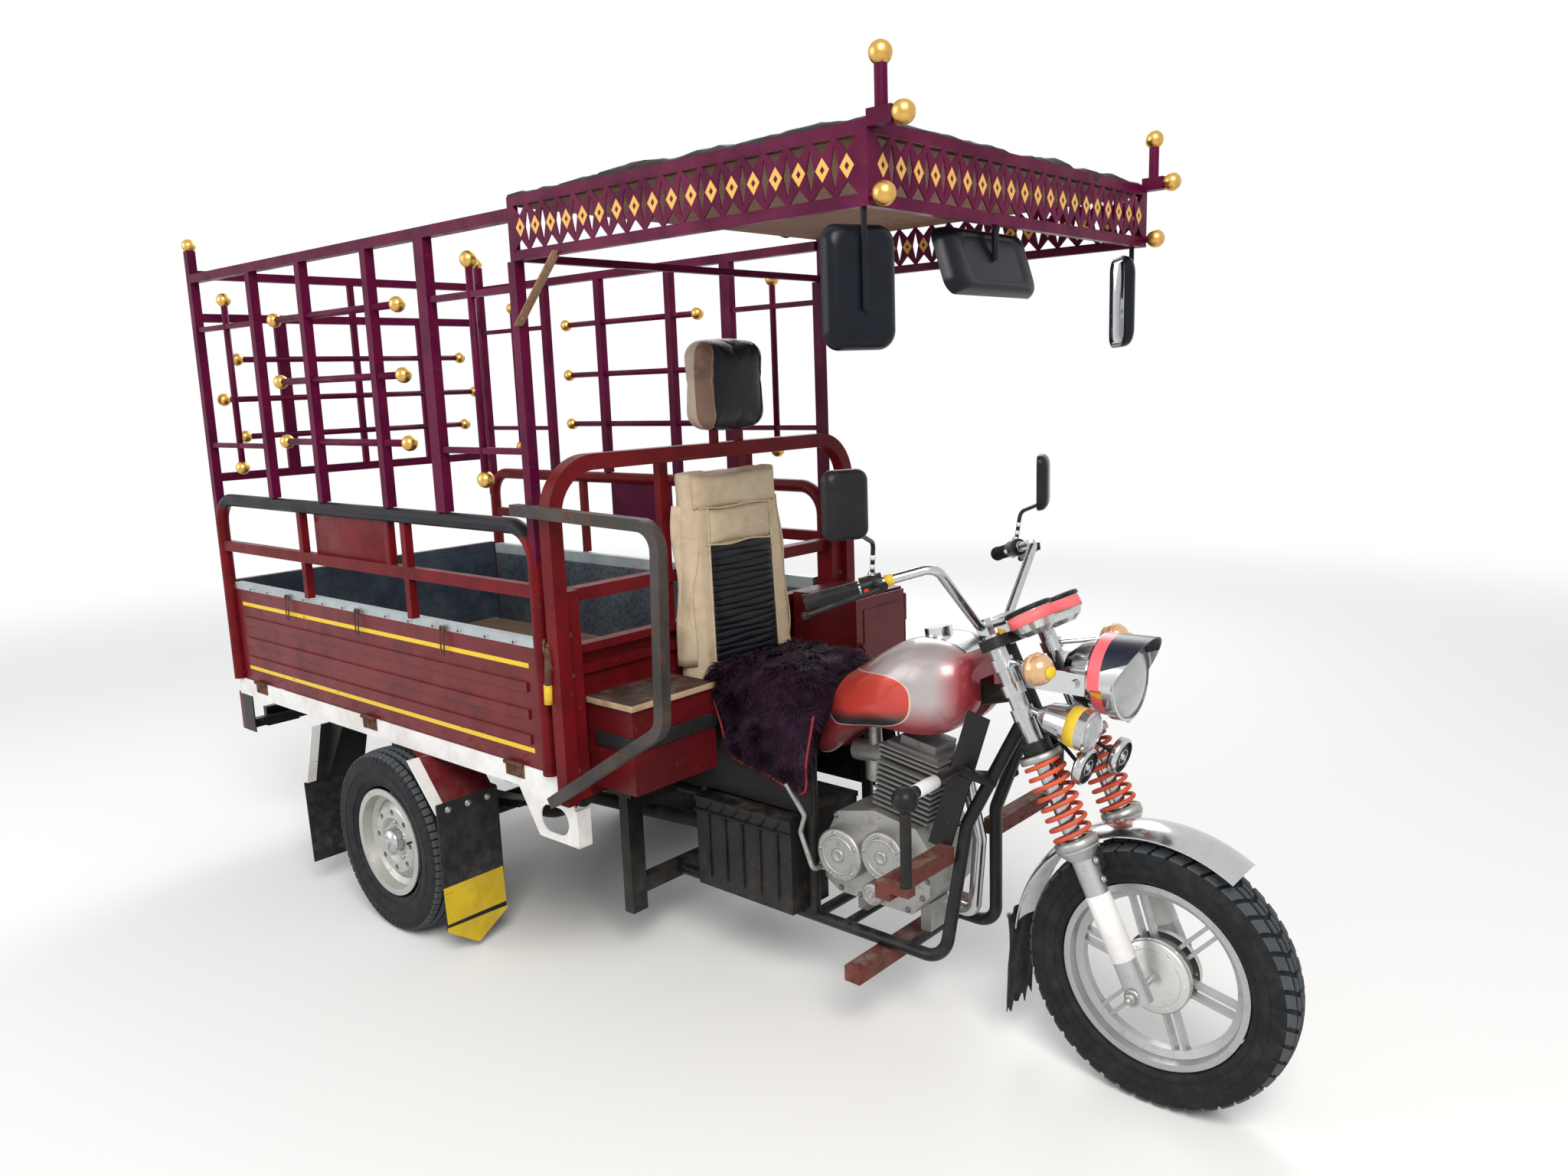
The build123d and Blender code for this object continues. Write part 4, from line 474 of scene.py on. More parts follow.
def axes(direction):
    """Two directions across a line and the line's own direction."""
    w = Vector(direction).normalized()
    u = w.cross(UP if abs(w.z) < 0.9 else Vector((1, 0, 0))).normalized()
    return u, w.cross(u).normalized(), w


class Heap:
    """Many small shapes gathered into one piece."""

    def __init__(self):
        self.verts, self.faces, self.smooth = [], [], []

    def add(self, shape, smooth=True):
        verts, faces = shape
        start = len(self.verts)
        self.verts += verts
        self.faces += [[start + i for i in face] for face in faces]
        self.smooth += [smooth] * len(faces)
        return self

    def piece(self, name, body, material, replaces=(), thick=0.0):
        mesh = bpy.data.meshes.new(name)
        mesh.from_pydata(self.verts, [], self.faces)
        mesh.update()
        mesh.polygons.foreach_set("use_smooth", self.smooth)
        mesh.materials.append(material)
        made = bpy.data.objects.new(name, mesh)
        bpy.context.collection.objects.link(made)
        if thick:
            shell = made.modifiers.new("thickness", "SOLIDIFY")
            shell.thickness, shell.offset = thick, 0
        if replaces:
            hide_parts(*replaces)
        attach(made, body)
        return made


def put(name, body, material, *shapes):
    """Piece made of finished shapes."""
    heap = Heap()
    for shape in shapes:
        heap.add(shape)
    return heap.piece(name, body, material)


def surface(across, along, point, wrap=False):
    """Quads over point(i, j) for i < across and j < along; wrap joins the last i to the first."""
    verts = [Vector(point(i, j)) for i in range(across) for j in range(along)]
    faces = []
    for i in range(across if wrap else across - 1):
        k = (i + 1) % across
        for j in range(along - 1):
            faces.append((i * along + j, k * along + j, k * along + j + 1, i * along + j + 1))
    return verts, faces


def lathe(profile, origin, direction, steps=32):
    """Turned shape: profile is a list of (radius, height) along the direction."""
    u, v, w = axes(direction)
    origin = Vector(origin)

    def point(i, j):
        angle = math.tau * i / steps
        radius, height = profile[j]
        return origin + w * height + (u * math.cos(angle) + v * math.sin(angle)) * max(radius, 1e-5)

    return surface(steps, len(profile), point, wrap=True)


def curve(points, steps=8):
    """Smooth line through points."""
    points = [Vector(p) for p in points]
    ends = [points[0] * 2 - points[1], *points, points[-1] * 2 - points[-2]]
    line = []
    for a, b, c, d in zip(ends, ends[1:], ends[2:], ends[3:]):
        for k in range(steps):
            t = k / steps
            bend, twist = 2 * a - 5 * b + 4 * c - d, 3 * b - 3 * c + d - a
            line.append(0.5 * (2 * b + (c - a) * t + bend * t * t + twist * t**3))
    return line + [points[-1]]


def tube(line, radius, sides=10, ends=True):
    """Round tube along a line of points; radius may be a list."""
    line = [Vector(p) for p in line]
    radii = radius if isinstance(radius, list) else [radius] * len(line)
    u = axes(line[1] - line[0])[0]
    verts, faces = [], []
    for i, spot in enumerate(line):
        w = (line[min(i + 1, len(line) - 1)] - line[max(i - 1, 0)]).normalized()
        u = (u - w * u.dot(w)).normalized()
        v = w.cross(u)
        for j in range(sides):
            angle = math.tau * j / sides
            verts.append(spot + (u * math.cos(angle) + v * math.sin(angle)) * radii[i])
    for i in range(len(line) - 1):
        for j in range(sides):
            k = (j + 1) % sides
            faces.append((i * sides + j, i * sides + k, (i + 1) * sides + k, (i + 1) * sides + j))
    if ends:
        faces.append(tuple(range(sides))[::-1])
        faces.append(tuple((len(line) - 1) * sides + j for j in range(sides)))
    return verts, faces


def rounded_box(low, high, bevel=0.004, segments=2):
    """Box between two corners with rounded edges."""
    low, high = Vector(low), Vector(high)
    made = bmesh.new()
    bmesh.ops.create_cube(made, size=1)
    for vert in made.verts:
        vert.co = Vector([low[k] + (vert.co[k] + 0.5) * (high[k] - low[k]) for k in range(3)])
    bmesh.ops.bevel(made, geom=list(made.edges), offset=bevel, segments=segments, affect="EDGES", profile=0.5)
    made.verts.index_update()
    shape = [vert.co.copy() for vert in made.verts], [[vert.index for vert in face.verts] for face in made.faces]
    made.free()
    return shape


def moved(shape, matrix):
    return [matrix @ vert for vert in shape[0]], shape[1]


def bolt(at, direction, across=0.015, high=0.007, sides=6):
    """Hexagon head with a chamfer on a washer."""
    half = across / 2
    head = lathe([(half, 0.0012), (half, high * 0.8), (half * 0.86, high), (0, high)], at, direction, sides)
    washer = lathe([(half * 1.35, 0), (half * 1.35, 0.0014), (0, 0.0014)], at, direction, 16)
    return join(head, washer)


def dome(at, direction, radius, high=0.5):
    """Rivet or cap: half a flattened ball standing on a face."""
    steps = [math.radians(a) for a in (0, 25, 50, 70, 90)]
    return lathe([(radius * math.cos(a), radius * high * math.sin(a)) for a in steps], at, direction, 12)


def ball(at, direction, radius, rings=12, sides=20):
    arc = [math.pi * k / rings for k in range(rings + 1)]
    return lathe([(radius * math.sin(a), -radius * math.cos(a)) for a in arc], at, direction, sides)


def around(centre, radius, count, start=0.0):
    """Places on a wheel's circle."""
    turns = [math.tau * k / count + start for k in range(count)]
    return [centre + Vector((math.cos(a), 0, math.sin(a))) * radius for a in turns]


def band(start, end, radius, bulge=0.0008):
    """Tape or collar round a straight tube from start to end."""
    run = (end - start).length
    inner = radius - 0.001
    profile = [(inner, 0), (radius, 0.0006), (radius + bulge, run / 2), (radius, run - 0.0006), (inner, run)]
    return lathe(profile, start, end - start, 20)


def join(*shapes):
    verts, faces = [], []
    for some, sides in shapes:
        start = len(verts)
        verts += some
        faces += [[start + i for i in face] for face in sides]
    return verts, faces


def panel(outline, origin, u, v, thick, bevel=0.0015):
    """Flat plate: outline of (across, up) points, a thickness and softened edges."""
    origin, u, v = Vector(origin), Vector(u).normalized(), Vector(v).normalized()
    w = u.cross(v).normalized()
    middle = Vector((sum(p[0] for p in outline) / len(outline), sum(p[1] for p in outline) / len(outline)))
    rings = []
    for depth, inset in ((0, 0), (thick - bevel, 0), (thick, bevel)):
        ring = []
        for across, up in outline:
            away = Vector((across, up)) - middle
            spot = middle + away * (1 - inset / max(away.length, 1e-4))
            ring.append(origin + u * spot.x + v * spot.y + w * depth)
        rings.append(ring)
    count = len(outline)
    verts = [vert for ring in rings for vert in ring]
    faces = []
    for start in (0, count):
        for i in range(count):
            k = (i + 1) % count
            faces.append((start + i, start + k, start + count + k, start + count + i))
    faces += [tuple(range(count))[::-1], tuple(2 * count + i for i in range(count))]
    return verts, faces


def rounded_outline(width, height, corner, steps=5):
    """Points round a rectangle with round corners, centred."""
    points = []
    wide, tall = width / 2 - corner, height / 2 - corner
    for sx, sy, start in ((1, 1, 0), (-1, 1, 90), (-1, -1, 180), (1, -1, 270)):
        for k in range(steps + 1):
            angle = math.radians(start + 90 * k / steps)
            points.append((sx * wide + corner * math.cos(angle), sy * tall + corner * math.sin(angle)))
    return points


def mesh_of(node):
    """Vertices and faces of a CAD node."""
    mesh = nodes[node].data
    return [vert.co.copy() for vert in mesh.vertices], [list(face.vertices) for face in mesh.polygons]


def remeshed(name, shape, voxel, smoothing=4):
    """New object with an even mesh over a closed shape."""
    mesh = bpy.data.meshes.new(name)
    mesh.from_pydata(shape[0], [], shape[1])
    made = bpy.data.objects.new(name, mesh)
    bpy.context.collection.objects.link(made)
    even = made.modifiers.new("even", "REMESH")
    even.mode, even.voxel_size = "VOXEL", voxel
    soft = made.modifiers.new("soft", "SMOOTH")
    soft.iterations, soft.factor = smoothing, 0.6
    return settled(made)


def settled(made):
    """Applies every modifier of an object."""
    graph = bpy.context.evaluated_depsgraph_get()
    mesh = bpy.data.meshes.new_from_object(made.evaluated_get(graph))
    made.modifiers.clear()
    made.data = mesh
    return made


def inflate(made, limit, pressure=4.0, frames=16):
    """Blows up a closed mesh with cloth, keeps each point within the limit, and leaves a plain mesh."""
    rest = [vert.co.copy() for vert in made.data.vertices]
    cloth = made.modifiers.new("cloth", "CLOTH")
    cloth.settings.use_pressure = True
    cloth.settings.uniform_pressure_force = pressure
    cloth.settings.quality = 4
    cloth.settings.effector_weights.gravity = 0
    cloth.collision_settings.use_self_collision = False
    for frame_number in range(1, frames + 1):
        bpy.context.scene.frame_set(frame_number)
    settled(made)
    bpy.context.scene.frame_set(1)
    for vert, start in zip(made.data.vertices, rest):
        step = vert.co - start
        if step.length > limit:
            vert.co = start + step * (limit / step.length)
    return made


def dressed(made, body, material, *stands_for):
    """Gives a finished mesh its material, body and the node that it stands for."""
    made.data.materials.clear()
    made.data.materials.append(material)
    made.data.polygons.foreach_set("use_smooth", [True] * len(made.data.polygons))
    if stands_for:
        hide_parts(*stands_for)
    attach(made, body)
    return made


# Tyres: a full section with tread, in place of the plain CAD ring.


def tyre(name, node, body, centre, outer, half, rim, blocks, block_steps, ribs, shoulder, chevron, zigzag):
    """blocks: tread blocks round the tyre. block_steps: (share of a block, 1 in the slit between blocks). ribs: places
    of the grooves that run round, as shares of the half width. shoulder: share where side slits begin. chevron: blocks
    that the slits lean back by. zigzag: sideways swing of the ribs' grooves, as a share of the half width."""
    wall = outer - rim
    edge, groove, drop = 0.86, 0.0075, 0.013
    slope = [(edge + 0.05, 0.10), (0.97, 0.24), (1.0, 0.42), (0.985, 0.60), (0.93, 0.76), (0.86, 0.88), (0.76, 0.97),
             (0.60, 1.0)]
    tread = []
    width = 0.0034 / half
    marks = sorted({-edge, edge, *(side * k * edge / 6 for side in (-1, 1) for k in range(6))})
    for share in marks:
        if all(abs(share - rib) > 2.6 * width for rib in ribs):
            tread.append((share, 0))
    for rib in ribs:
        tread += [(rib - 1.7 * width, 0), (rib - width, 1), (rib + width, 1), (rib + 1.7 * width, 0)]
    tread.sort()
    section = [(-share, wall * fall, 0, 0) for share, fall in reversed(slope)]
    section += [(share, drop * abs(share) ** 2.4, deep, 1) for share, deep in tread]
    section += [(share, wall * fall, 0, 0) for share, fall in slope]
    turns = [(k + share, slit) for k in range(blocks) for share, slit in block_steps]
    centre = Vector(centre)

    def point(i, j):
        turn, slit = turns[i]
        share, fall, deep, on_tread = section[j]
        side = abs(share)
        if on_tread:
            swing = zigzag * (1 if int(turn * 2) % 2 else -1)
            share += swing * (1 - side / edge)
            cut = 1.0 if deep else (slit if side > shoulder else 0.0)
            radius = outer - fall - groove * cut
        else:
            cut = slit if side >= edge and fall < wall * 0.25 else 0.0
            radius = outer - fall - groove * 0.9 * cut
        lean = chevron * min(side / edge, 1.0)
        angle = math.tau * (turn + lean) / blocks
        return centre + Vector((math.cos(angle) * radius, share * half, math.sin(angle) * radius))

    heap = Heap().add(surface(len(turns), len(section), point, wrap=True), smooth=False)
    for side in (-1, 1):
        for radius, share, thick in ((outer - wall * 0.50, 0.998, 0.0011), (outer - wall * 0.80, 0.915, 0.0014)):
            ring = around(centre + Vector((0, side * half * share, 0)), radius, 72)
            heap.add(tube(ring + ring[:1], thick, 6, ends=False))
    piece = heap.piece(name, body, tread_finish(name + "_rubber", centre, outer, half), replaces=[node])


FRONT_AXLE = place(2153, 0, 302)
lug_steps = ((0.0, 1), (0.20, 1), (0.25, 0), (0.60, 0), (0.95, 0))
sipe_steps = ((0.0, 1), (0.12, 1), (0.18, 0), (0.5, 0), (0.94, 0))
tyre("tyre_front", "front_tyre", "front_wheel", FRONT_AXLE, outer=0.302, half=0.054, rim=0.214, blocks=46,
     block_steps=lug_steps, ribs=(-0.36, 0.0, 0.36), shoulder=0.05, chevron=0.62, zigzag=0.012)
for side, word in SIDES:
    tyre(f"tyre_rear_{word}", f"rear_tyre_{word}", f"rear_wheel_{word}", place(0, side * 570, 282), outer=0.282,
         half=0.0665, rim=0.170, blocks=72, block_steps=sipe_steps, ribs=(-0.56, -0.2, 0.2, 0.56), shoulder=0.62,
         chevron=0.0, zigzag=0.035)

# Wheels: nuts, caps and discs on the rims.
for side, word in SIDES:
    body = f"rear_wheel_{word}"
    out = Vector((0, side, 0))
    low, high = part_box(f"rear_rim_{word}")
    hub = Vector((at_x(0), low.y if side < 0 else high.y, 0.282))
    heap = Heap()
    for spot in around(hub - out * 0.058, 0.057, 5, 0.3):
        heap.add(bolt(spot, out, 0.021, 0.016))
        heap.add(lathe([(0.0055, 0.016), (0.0055, 0.025), (0, 0.026)], spot, out, 10))
    heap.piece(f"wheel_nuts_{word}", body, cast)
    cap = [(0.038, -0.05), (0.038, -0.022), (0.034, -0.014), (0.022, -0.008), (0.008, -0.005), (0, -0.005)]
    put(f"hub_cap_{word}", body, chrome, lathe(cap, hub, out, 36), band(hub - out * 0.05, hub - out * 0.044, 0.0405))
    stem = [(0.003, -0.018), (0.003, 0.010), (0.0042, 0.011), (0.0042, 0.019), (0, 0.020)]
    put(f"valve_{word}", body, rubber, lathe(stem, hub + Vector((0.128, 0, 0.03)) - out * 0.02, out, 10))

for side, word in SIDES:
    out = Vector((0, side, 0))
    disc = [(0.084, 0.020), (0.084, 0.034), (0.080, 0.0365), (0.052, 0.043), (0.028, 0.049), (0.026, 0.0495),
            (0, 0.0495)]
    screws = [dome(spot, out, 0.004) for spot in around(FRONT_AXLE + out * 0.0375, 0.071, 6)]
    put(f"hub_disc_{word}", "front_wheel", polished, lathe(disc, FRONT_AXLE, out, 48), *screws)
    end = FRONT_AXLE + out * 0.140
    put(f"axle_nut_{word}", "steering", cast, bolt(end, out, 0.026, 0.015),
        lathe([(0.007, 0.014), (0.007, 0.024), (0, 0.026)], end, out, 16))


# Fork: steel cups and dust seals at the ends of the springs, white painted lower legs.
rake = math.radians(25.8)
fork_up = Vector((-math.sin(rake), 0, math.cos(rake)))
for side, word in SIDES:
    foot = FRONT_AXLE + Vector((0, side * 0.112, 0))
    heap = Heap()
    for up, high in ((0.326, 0.018), (0.528, 0.015)):
        cup = [(0.030, -0.001), (0.0475, 0), (0.0485, high * 0.5), (0.0475, high), (0.040, high + 0.002)]
        heap.add(lathe(cup + [(0.028, high + 0.002)], foot + fork_up * up, fork_up, 36))
    heap.piece(f"spring_cups_{word}", "steering", cast)
    skin = [(0.0262, 0), (0.0275, 0.002), (0.0275, 0.146), (0.0262, 0.148)]
    put(f"leg_paint_{word}", "steering", white_paint, lathe(skin, foot + fork_up * 0.072, fork_up, 36))
    heap = Heap()
    for up in (0.250, 0.292):
        heap.add(bolt(foot + fork_up * up + Vector((0.027, 0, 0.010)), (0.9, 0, 0.42), 0.012, 0.006))
    heap.add(dome(foot + fork_up * 0.045 + Vector((0.026, 0, 0)), (1, 0, 0), 0.006))
    heap.piece(f"leg_bolts_{word}", "steering", cast)


# Seat: a soft body under shaggy strands, with red piping along its hem.
def fur(name, body, base, count, length, seed):
    """Tapered strands that stand out of a mesh and hang down, swirled by noise."""
    picks = random.Random(seed)
    noise.seed_set(seed)  # noise_vector takes its offsets from the clock otherwise
    mesh = base.data
    mesh.calc_loop_triangles()
    total, areas = 0.0, []
    for tri in mesh.loop_triangles:
        total += tri.area
        areas.append(total)
    verts, faces = [], []
    for _ in range(count):
        tri = mesh.loop_triangles[bisect.bisect_left(areas, picks.random() * total)]
        a, b, c = (mesh.vertices[k].co for k in tri.vertices)
        s, t = sorted((picks.random(), picks.random()))
        root = a * s + b * (t - s) + c * (1 - t)
        normal = tri.normal
        if normal.z < -0.6:
            continue
        swirl = noise.noise_vector(root * 22) * 0.75 + noise.noise_vector(root * 6 + Vector((3, 1, 7))) * 0.9
        lie = normal * 0.55 + swirl + Vector((0.05, 0, -0.55))
        lie = (lie - normal * min(0, lie.dot(normal) - 0.12)).normalized()
        reach = length * picks.uniform(0.55, 1.15)
        side = lie.cross(normal).normalized() * picks.uniform(0.0011, 0.0020)
        middle = root + lie * reach * 0.55 + normal * 0.0015
        tip = root + lie * reach + Vector((0, 0, -0.25 * reach)) * (0.4 + abs(normal.z))
        if (tip - root).dot(normal) < 0.0012:
            tip += normal * (0.0015 - (tip - root).dot(normal))
        start = len(verts)
        verts += [root - side, root + side, middle + side * 0.8, middle - side * 0.8, tip]
        faces += [(start, start + 1, start + 2, start + 3), (start + 3, start + 2, start + 4)]
    return Heap().add((verts, faces)).piece(name, body, fur_strands)


def fur_finish():
    f = Finish("seat_fur", Specular_IOR_Level=0.15)
    tuft = f.between(f.noise(26, 5, 0.7), 0.35, 0.68)
    strand = f.noise(380, 2)
    skin = f.mix(tuft, (0.007, 0.003, 0.008), (0.028, 0.008, 0.023))
    skin = f.mix(f.between(strand, 0.55, 0.75) * 0.5, skin, (0.055, 0.020, 0.044))
    dust = f.between(f.noise(11, 5, 0.7), 0.56, 0.76) * 0.15
    skin = f.mix(dust, skin, (0.20, 0.15, 0.15))
    f.bump(strand, 0.4, 0.002)
    return f.wear(Base_Color=skin, Roughness=0.62 + tuft * 0.2)


fur_strands = fur_finish()
voxel = 0.007
seat = remeshed("seat_body", mesh_of("seat_cushion"), voxel, 3)
seat = dressed(inflate(seat, 0.010, 3.0), "chassis", fur_strands, "seat_cushion")
fur("seat_strands", "chassis", seat, 60000, 0.032, 11)
f = Finish("piping_red")
f.bump(f.noise(500, 2) + f.cells(260), 0.3, 0.001)
piping_red = f.wear(Base_Color=f.mix(f.noise(60, 4), (0.30, 0.010, 0.012), (0.16, 0.008, 0.010)),
                    Roughness=0.55 + f.noise(30) * 0.2)
for side, word in SIDES:
    hem = [(985, 812), (1018, 735), (1052, 646), (1170, 620), (1296, 589), (1316, 680), (1341, 798)]
    line = curve([place(x, side * (197 + 3 * (k % 2)), z) for k, (x, z) in enumerate(hem)], 10)
    put(f"seat_piping_{word}", "chassis", piping_red, tube(line, 0.0032, 8))


# Backrest and headrest: inflated covers with seams, side flaps and a ribbed black panel.
def soft_block(name, node, voxel, limit, pressure, body, material):
    made = remeshed(name, mesh_of(node), voxel, 6)
    made = dressed(inflate(made, limit, pressure), body, material, node)
    return made


coarse = 0.0065
back_pad = soft_block("backrest_cover", "backrest", coarse, 0.008, 3.0, "chassis", beige_hide)
head_pad = soft_block("headrest_cover", "headrest", coarse, 0.012, 4.0, "chassis", headrest_finish())
low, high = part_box("backrest")
back_front = high.x


def front_finder(cover, low, high):
    """Function that gives the x of a cover's front face at y and z, smoothed over the wrinkles."""
    mesh = cover.data
    corners = [vert.co.copy() for vert in mesh.vertices]
    tree = BVHTree.FromPolygons(corners, [tuple(face.vertices) for face in mesh.polygons])

    def inside(value, axis):
        return min(max(value, low[axis] + 0.012), high[axis] - 0.012)

    def front(y, z, reach=0.014):
        found = []
        for dy in (-reach, 0, reach):
            for dz in (-reach, 0, reach):
                spot = Vector((high.x + 0.3, inside(y + dy, 1), inside(z + dz, 2)))
                hit = tree.ray_cast(spot, Vector((-1, 0, 0)))[0]
                if hit:
                    found.append(hit.x)
        found.sort()
        return found[len(found) // 2] if found else high.x

    return front


back_front_at = front_finder(back_pad, *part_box("backrest"))
head_front_at = front_finder(head_pad, *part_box("headrest"))


def quilt(name, y_low, y_high, z_low, z_high, ribs, crown, material):
    """Panel of sewn ribs over the backrest's front face."""
    across = 22
    rows = ribs * 8 + 1

    def point(i, j):
        s, t = i / (across - 1), j / (rows - 1)
        y = y_low + (y_high - y_low) * s
        z = z_low + (z_high - z_low) * t
        rib = abs(math.sin(math.pi * t * ribs)) ** 0.4
        edge = min(1.0, 9 * min(s, 1 - s)) ** 0.5
        wave = 0.0012 * math.sin(9 * s + 3 * math.sin(t * 14))
        rim = 0.003 * (1 - min(1.0, 12 * min(s, 1 - s, t, 1 - t)))
        x = back_front_at(y, z) + 0.0015 + crown * rib * edge + wave * edge - rim
        return Vector((x, y, z + 0.002 * math.sin(6 * s + t * 40)))

    return Heap().add(surface(across, rows, point)).piece(name, "chassis", material, thick=0.004)


centre_y = 0.036
quilt("backrest_ribs", centre_y - 0.135, centre_y + 0.122, low.z + 0.03, low.z + 0.385, 19, 0.0055, black_hide)
quilt("backrest_top_panel", centre_y - 0.130, centre_y + 0.116, low.z + 0.390, high.z - 0.105, 1, 0.011, beige_hide)
quilt("backrest_head_fold", centre_y - 0.178, centre_y + 0.150, high.z - 0.100, high.z - 0.012, 1, 0.010, beige_hide)
seams = Heap()
for y_low, y_high in ((-0.140, -0.130), (0.126, 0.116)):
    places = [(centre_y + y_low + (y_high - y_low) * k / 14, low.z + 0.02 + 0.0395 * k) for k in range(15)]
    seams.add(tube(curve([(back_front_at(y, z) + 0.0015, y, z) for y, z in places], 4), 0.0034, 8))
for up, reach in ((0.387, 0.132), (0.489, 0.150)):
    places = [(centre_y - 0.012 + share * reach / 5, low.z + up + 0.003 * math.sin(share)) for share in range(-5, 6)]
    seams.add(tube(curve([(back_front_at(y, z) + 0.0025, y, z) for y, z in places], 4), 0.0030, 8))
seams.piece("backrest_piping", "chassis", beige_hide)
for side, word in SIDES:
    # loose leatherette flap beside the pad
    def point(i, j):
        s, t = i / 11, j / 17
        z = low.z + 0.06 + 0.44 * t
        y = centre_y + side * (0.19 - 0.018 * t) + side * (0.010 * math.sin(5 * t + s * 3) + 0.022 * s)
        x = back_front - 0.012 - 0.062 * s + 0.006 * math.sin(11 * t + 2 * s)
        return Vector((x, y, z))

    flap = Heap().add(surface(12, 18, point)).piece(f"backrest_flap_{word}", "chassis", beige_hide, thick=0.0022)

low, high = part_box("headrest")
middle = (low + high) / 2
half = (high - low) / 2
heap = Heap()
for side in (-1, 1):
    line = []
    for k in range(17):
        share = -0.90 + 1.80 * k / 16
        bow = 1 - 0.12 * abs(share) ** 3
        y, z = middle.y + side * 0.092 * bow, middle.z + share * half.z
        line.append(Vector((head_front_at(y, z, 0.006) + 0.0005, y, z)))
    heap.add(tube(curve(line, 3), 0.0022, 8))
heap.piece("headrest_piping", "chassis", black_hide)


# Canopy: one wrinkled tarpaulin pulled over the roof and down its edges, and a wooden brace.
low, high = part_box("canopy_roof")


def roof_point(i, j):
    s, t = i / 55 * 2 - 1, j / 59 * 2 - 1
    reach_x, reach_y = (high.x - low.x) / 2 - 0.002, (high.y - low.y) / 2 - 0.002
    hang = 0.030
    x, y = s * (reach_x + hang), t * (reach_y + hang)
    over = max(0.0, abs(x) - reach_x, abs(y) - reach_y)
    x, y = max(-reach_x, min(reach_x, x)), max(-reach_y, min(reach_y, y))
    rise = (1 - max(abs(s), abs(t)) ** 3) * 0.026
    folds = noise.noise(Vector((s * 5, t * 5, 3))) * 0.010 + noise.noise(Vector((s * 17, t * 14, 9))) * 0.006
    edge = 0.006 * noise.noise(Vector((s * 20, t * 20, 1))) if over else 0.0
    out = 0.004 + 0.006 * abs(noise.noise(Vector((s * 9, t * 9, 4)))) if over else 0.0
    x += (low.x + high.x) / 2 + math.copysign(out, s) * (abs(x) >= reach_x)
    y += (low.y + high.y) / 2 + math.copysign(out, t) * (abs(y) >= reach_y)
    return Vector((x, y, low.z + 0.006 + rise + folds - over * 0.75 + edge))


roof = Heap().add(surface(56, 60, roof_point))
roof = roof.piece("roof_tarpaulin", "chassis", tarpaulin, replaces=["canopy_roof"], thick=0.0016)
wood = planks("brace_wood", (0.34, 0.19, 0.10), (0.20, 0.10, 0.05), along=(2, 9, 9))
brace_way = place(950, 0, 1926) - place(786, 0, 1768)
turn = Matrix.Translation(place(868, -586.5, 1847)) @ brace_way.to_track_quat("X", "Y").to_matrix().to_4x4()
strip = rounded_box((-0.113, -0.0022, -0.0125), (0.113, 0.0022, 0.0125), 0.0015)
put("brace_strip", "chassis", wood, moved(strip, turn), bolt(place(804, -588.8, 1786), (0, -1, 0), 0.009, 0.003))

# Cage: maroon sleeves over the rods and a gold ball at each end.
rods = []
for y in (-569.5, 569.5):
    rods += [(place(-480, y, z), place(232, y, z)) for z in (1484, 1669, 1857)]
    rods += [(place(ahead, y, 1394), place(ahead, y, 1942)) for ahead in (-817, 578)]
rods += [(place(-1034, -reach, z), place(-1034, reach, z)) for z, reach in ((1490, 452), (1621, 512), (1758, 452))]
knobs, sleeves = Heap(), Heap()
for ends in rods:
    sleeves.add(tube(ends, 0.0102, 14))
    for end in ends:
        knobs.add(ball(end, ends[1] - ends[0], 0.022))
knobs.piece("cage_knobs", "chassis", gold)
sleeves.piece("rod_sleeves", "chassis", cage_paint)

# Red sheet between the two rails of the right guard, with a folded front edge.
screws = [bolt(place(ahead, -570.5, z), (0, -1, 0), 0.010, 0.003) for ahead in (-348, 54) for z in (1130, 1244)]
put("guard_plate", "chassis", rail_paint, rounded_box(place(-360, -570.5, 1114), place(92, -568.5, 1262), 0.0008),
    rounded_box(place(68, -581, 1114), place(92, -557, 1262), 0.002), *screws)


# Mirrors: silvered glass set in each black shell.
def glass_finish():
    f = Finish("mirror_glass", Coat_Weight=0.4)
    smear = f.between(f.noise(14, 5, 0.7), 0.45, 0.8)
    f.bump(f.noise(30, 2), 0.02, 0.0005)
    return f.wear(Base_Color=f.mix(smear * 0.5, (0.34, 0.37, 0.40), (0.22, 0.22, 0.22)), Roughness=0.04 + smear * 0.25,
                  Metallic=1.0 - smear * 0.3)


mirror_glass = glass_finish()


def mirror(name, body, head, turn, tilt, width, high):
    """Glass and its lip on the rear face of a mirror shell."""
    swing = Matrix.Rotation(math.radians(turn), 4, "Z") @ Matrix.Rotation(math.radians(tilt), 4, "Y")
    spin = Matrix.Translation(head) @ swing
    small = min(width, high)
    glass = rounded_outline(width * 0.86, high * 0.90, 0.16 * small)
    put(name, body, mirror_glass, moved(panel(glass, (-0.0002, 0, 0), (0, -1, 0), UP, 0.0016, 0.0006), spin))
    lip = rounded_outline(width * 0.93, high * 0.955, 0.2 * small)
    ring = [spin @ Vector((-0.0006, y * 1.01, z * 1.01)) for y, z in lip]
    put(f"{name}_lip", body, shell_black, tube(ring + ring[:1], 0.0022, 6, ends=False))


